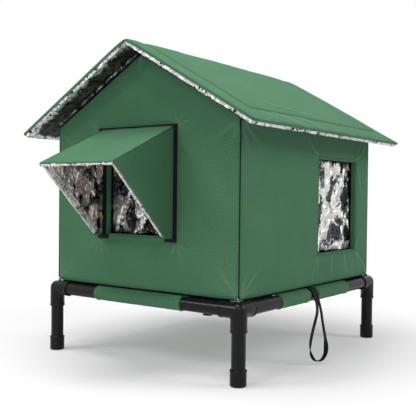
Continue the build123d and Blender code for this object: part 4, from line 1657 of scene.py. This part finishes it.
def set_world(strength):
    world = bpy.data.worlds.new("studio")
    bpy.context.scene.world = world
    world.use_nodes = True
    tree = world.node_tree
    tree.nodes.clear()
    light, white = (tree.nodes.new("ShaderNodeBackground") for _ in range(2))
    light.inputs["Strength"].default_value = strength
    for made in (light, white):
        made.inputs["Color"].default_value = (1, 1, 1, 1)
    either, out = tree.nodes.new("ShaderNodeMixShader"), tree.nodes.new("ShaderNodeOutputWorld")
    fill(either, (seen_as_background(tree), Value(light.outputs[0]), Value(white.outputs[0])))
    feed(out.inputs[0], Value(either.outputs[0]))


def add_floor_stage():
    half = 12.0
    mesh = bpy.data.meshes.new("studio_floor")
    corners = [(-half, -half, 0), (half, -half, 0), (half, half, 0), (-half, half, 0)]
    mesh.from_pydata(corners, [], [(0, 1, 2, 3)])
    floor = add_object("studio_floor", mesh)
    made = bpy.data.materials.new("studio floor")
    made.use_nodes = True
    tree = made.node_tree
    shader = tree.nodes["Principled BSDF"]
    shader.inputs["Base Color"].default_value = (0.92, 0.92, 0.92, 1)
    shader.inputs["Roughness"].default_value = 0.9
    shader.inputs["Specular IOR Level"].default_value = 0.1
    where = Value(tree.nodes.new("ShaderNodeTexCoord").outputs["Object"])
    fade = ramped(vector_calc("LENGTH", where), 0.34, 0.78, 0.30, 1.0)
    amount = calc("MULTIPLY", fade, seen_as_background(tree), clamp=True)
    glow, either = tree.nodes.new("ShaderNodeEmission"), tree.nodes.new("ShaderNodeMixShader")
    fill(either, (amount, Value(shader.outputs[0]), Value(glow.outputs[0])))
    feed(tree.nodes["Material Output"].inputs["Surface"], Value(either.outputs[0]))
    mesh.materials.append(made)


# Lamps: place, the height they aim at, side of the square and power
LAMPS = {
    "overhead": ((-0.2, -0.5, 2.6), 0.2, 1.4, 50),
    "fill": ((2.5, 1.3, 2.0), 0.3, 1.1, 31),
    "front": ((-1.6, -2.3, 2.1), 0.3, 0.8, 20),
    "right_highlight": ((1.5, -1.6, 1.9), 0.2, 0.2, 6),
    "left_highlight": ((0.1, -2.0, 1.7), 0.2, 0.2, 4),
}


def add_lamp(name, place, height, size, power):
    lamp = bpy.data.lights.new(name, "AREA")
    lamp.shape = "RECTANGLE"
    lamp.size = lamp.size_y = size
    lamp.energy = power
    holder = add_object(name, lamp)
    holder.location = place
    holder.rotation_mode = "QUATERNION"
    aim = Vector((0, 0, height)) - Vector(place)
    holder.rotation_quaternion = aim.to_track_quat("-Z", "Y")


# Operators, one for each piece or group of pieces


class CATHOUSE_OT_materials(bpy.types.Operator):
    """Cloth, foil, plastic and webbing finishes"""

    bl_idname = "cathouse.materials"
    bl_label = "Materials"

    def execute(self, context):
        make_materials(context.scene.cat_house_colours)
        return {"FINISHED"}


class CATHOUSE_OT_stage(bpy.types.Operator):
    """Camera, floor, lamps and background"""

    bl_idname = "cathouse.stage"
    bl_label = "Stage"

    def execute(self, context):
        context.scene.view_settings.view_transform = "Standard"
        set_camera(context.scene.cat_house_camera)
        set_world(0.20)
        add_floor_stage()
        for name, values in LAMPS.items():
            add_lamp(name, *values)
        return {"FINISHED"}


class CATHOUSE_OT_strap(bpy.types.Operator):
    """Tie strap: its free loop and its flat ends"""

    bl_idname = "cathouse.strap"
    bl_label = "Tie strap"

    def execute(self, context):
        add_strap(context.scene.cat_house)
        return {"FINISHED"}


class CATHOUSE_OT_stand(bpy.types.Operator):
    """Pipes, elbows and foot caps"""

    bl_idname = "cathouse.stand"
    bl_label = "Stand"

    def execute(self, context):
        add_stand()
        return {"FINISHED"}


class CATHOUSE_OT_deck(bpy.types.Operator):
    """Cloth deck with its sleeves, and the floor of the house"""

    bl_idname = "cathouse.deck"
    bl_label = "Deck and floor"

    def execute(self, context):
        add_deck(context.scene.cat_house)
        add_floor_pieces(context.scene.cat_house)
        return {"FINISHED"}


class CATHOUSE_OT_walls(bpy.types.Operator):
    """Outer cloth and foil lining of the four walls, and the corner seams"""

    bl_idname = "cathouse.walls"
    bl_label = "Walls"

    def execute(self, context):
        sizes = context.scene.cat_house
        for name in WALLS:
            low_u, high_u = WALLS[name][1:3]
            inset = 0.0036 if name in ("front", "back") else wall + 0.0005
            add_wall(sizes, name)
            add_wall_lining(sizes, name, low_u + inset, high_u - inset)
        add_corner_seams(sizes)
        add_shade_strips()
        return {"FINISHED"}


class CATHOUSE_OT_openings(bpy.types.Operator):
    """Hems, header strips and foil flaps of the doorway and the side opening"""

    bl_idname = "cathouse.openings"
    bl_label = "Openings"

    def execute(self, context):
        add_openings(context.scene.cat_house)
        return {"FINISHED"}


class CATHOUSE_OT_awning(bpy.types.Operator):
    """Awning and the tapes that hold it"""

    bl_idname = "cathouse.awning"
    bl_label = "Awning"

    def execute(self, context):
        add_awning(context.scene.cat_house)
        add_tapes()
        return {"FINISHED"}


class CATHOUSE_OT_roof(bpy.types.Operator):
    """Roof cloth, its foil and boards, and the hook and loop tapes"""

    bl_idname = "cathouse.roof"
    bl_label = "Roof"

    def execute(self, context):
        add_roof_foil(context.scene.cat_house)
        add_roof_cloth(context.scene.cat_house)
        add_hook_tapes()
        return {"FINISHED"}


class CATHOUSE_OT_stitches(bpy.types.Operator):
    """Rows of stitches on the roof, the side opening and the tapes"""

    bl_idname = "cathouse.stitches"
    bl_label = "Stitches"

    def execute(self, context):
        add_all_stitches(context.scene.cat_house)
        return {"FINISHED"}


SETTINGS = {
    "cat_house": CatHouseSizes,
    "cat_house_colours": CatHouseColours,
    "cat_house_camera": CatHouseCamera,
}
OPERATORS = (
    CATHOUSE_OT_materials,
    CATHOUSE_OT_stage,
    CATHOUSE_OT_strap,
    CATHOUSE_OT_stand,
    CATHOUSE_OT_deck,
    CATHOUSE_OT_walls,
    CATHOUSE_OT_openings,
    CATHOUSE_OT_awning,
    CATHOUSE_OT_roof,
    CATHOUSE_OT_stitches,
)


class CATHOUSE_PT_panel(bpy.types.Panel):
    """Lists the settings and the pieces"""

    bl_idname = "CATHOUSE_PT_panel"
    bl_label = "Cat House"
    bl_space_type = "VIEW_3D"
    bl_region_type = "UI"
    bl_category = "Cat House"

    def draw(self, context):
        for name in SETTINGS:
            group = getattr(context.scene, name)
            box = self.layout.box()
            for label in group.bl_rna.properties.keys():
                if label not in ("rna_type", "name"):
                    box.prop(group, label)
        for operator in OPERATORS:
            self.layout.operator(operator.bl_idname)


def register():
    for item in (*SETTINGS.values(), *OPERATORS, CATHOUSE_PT_panel):
        bpy.utils.register_class(item)
    for name, group in SETTINGS.items():
        setattr(bpy.types.Scene, name, PointerProperty(type=group))


def unregister():
    for name in SETTINGS:
        delattr(bpy.types.Scene, name)
    for item in reversed((*SETTINGS.values(), *OPERATORS, CATHOUSE_PT_panel)):
        bpy.utils.unregister_class(item)


def main():
    register()
    bpy.ops.cathouse.materials()
    bpy.ops.cathouse.stage()
    bpy.ops.cathouse.strap()
    bpy.ops.cathouse.stand()
    bpy.ops.cathouse.deck()
    bpy.ops.cathouse.walls()
    bpy.ops.cathouse.openings()
    bpy.ops.cathouse.awning()
    bpy.ops.cathouse.roof()
    bpy.ops.cathouse.stitches()


if __name__ == "__main__":
    main()
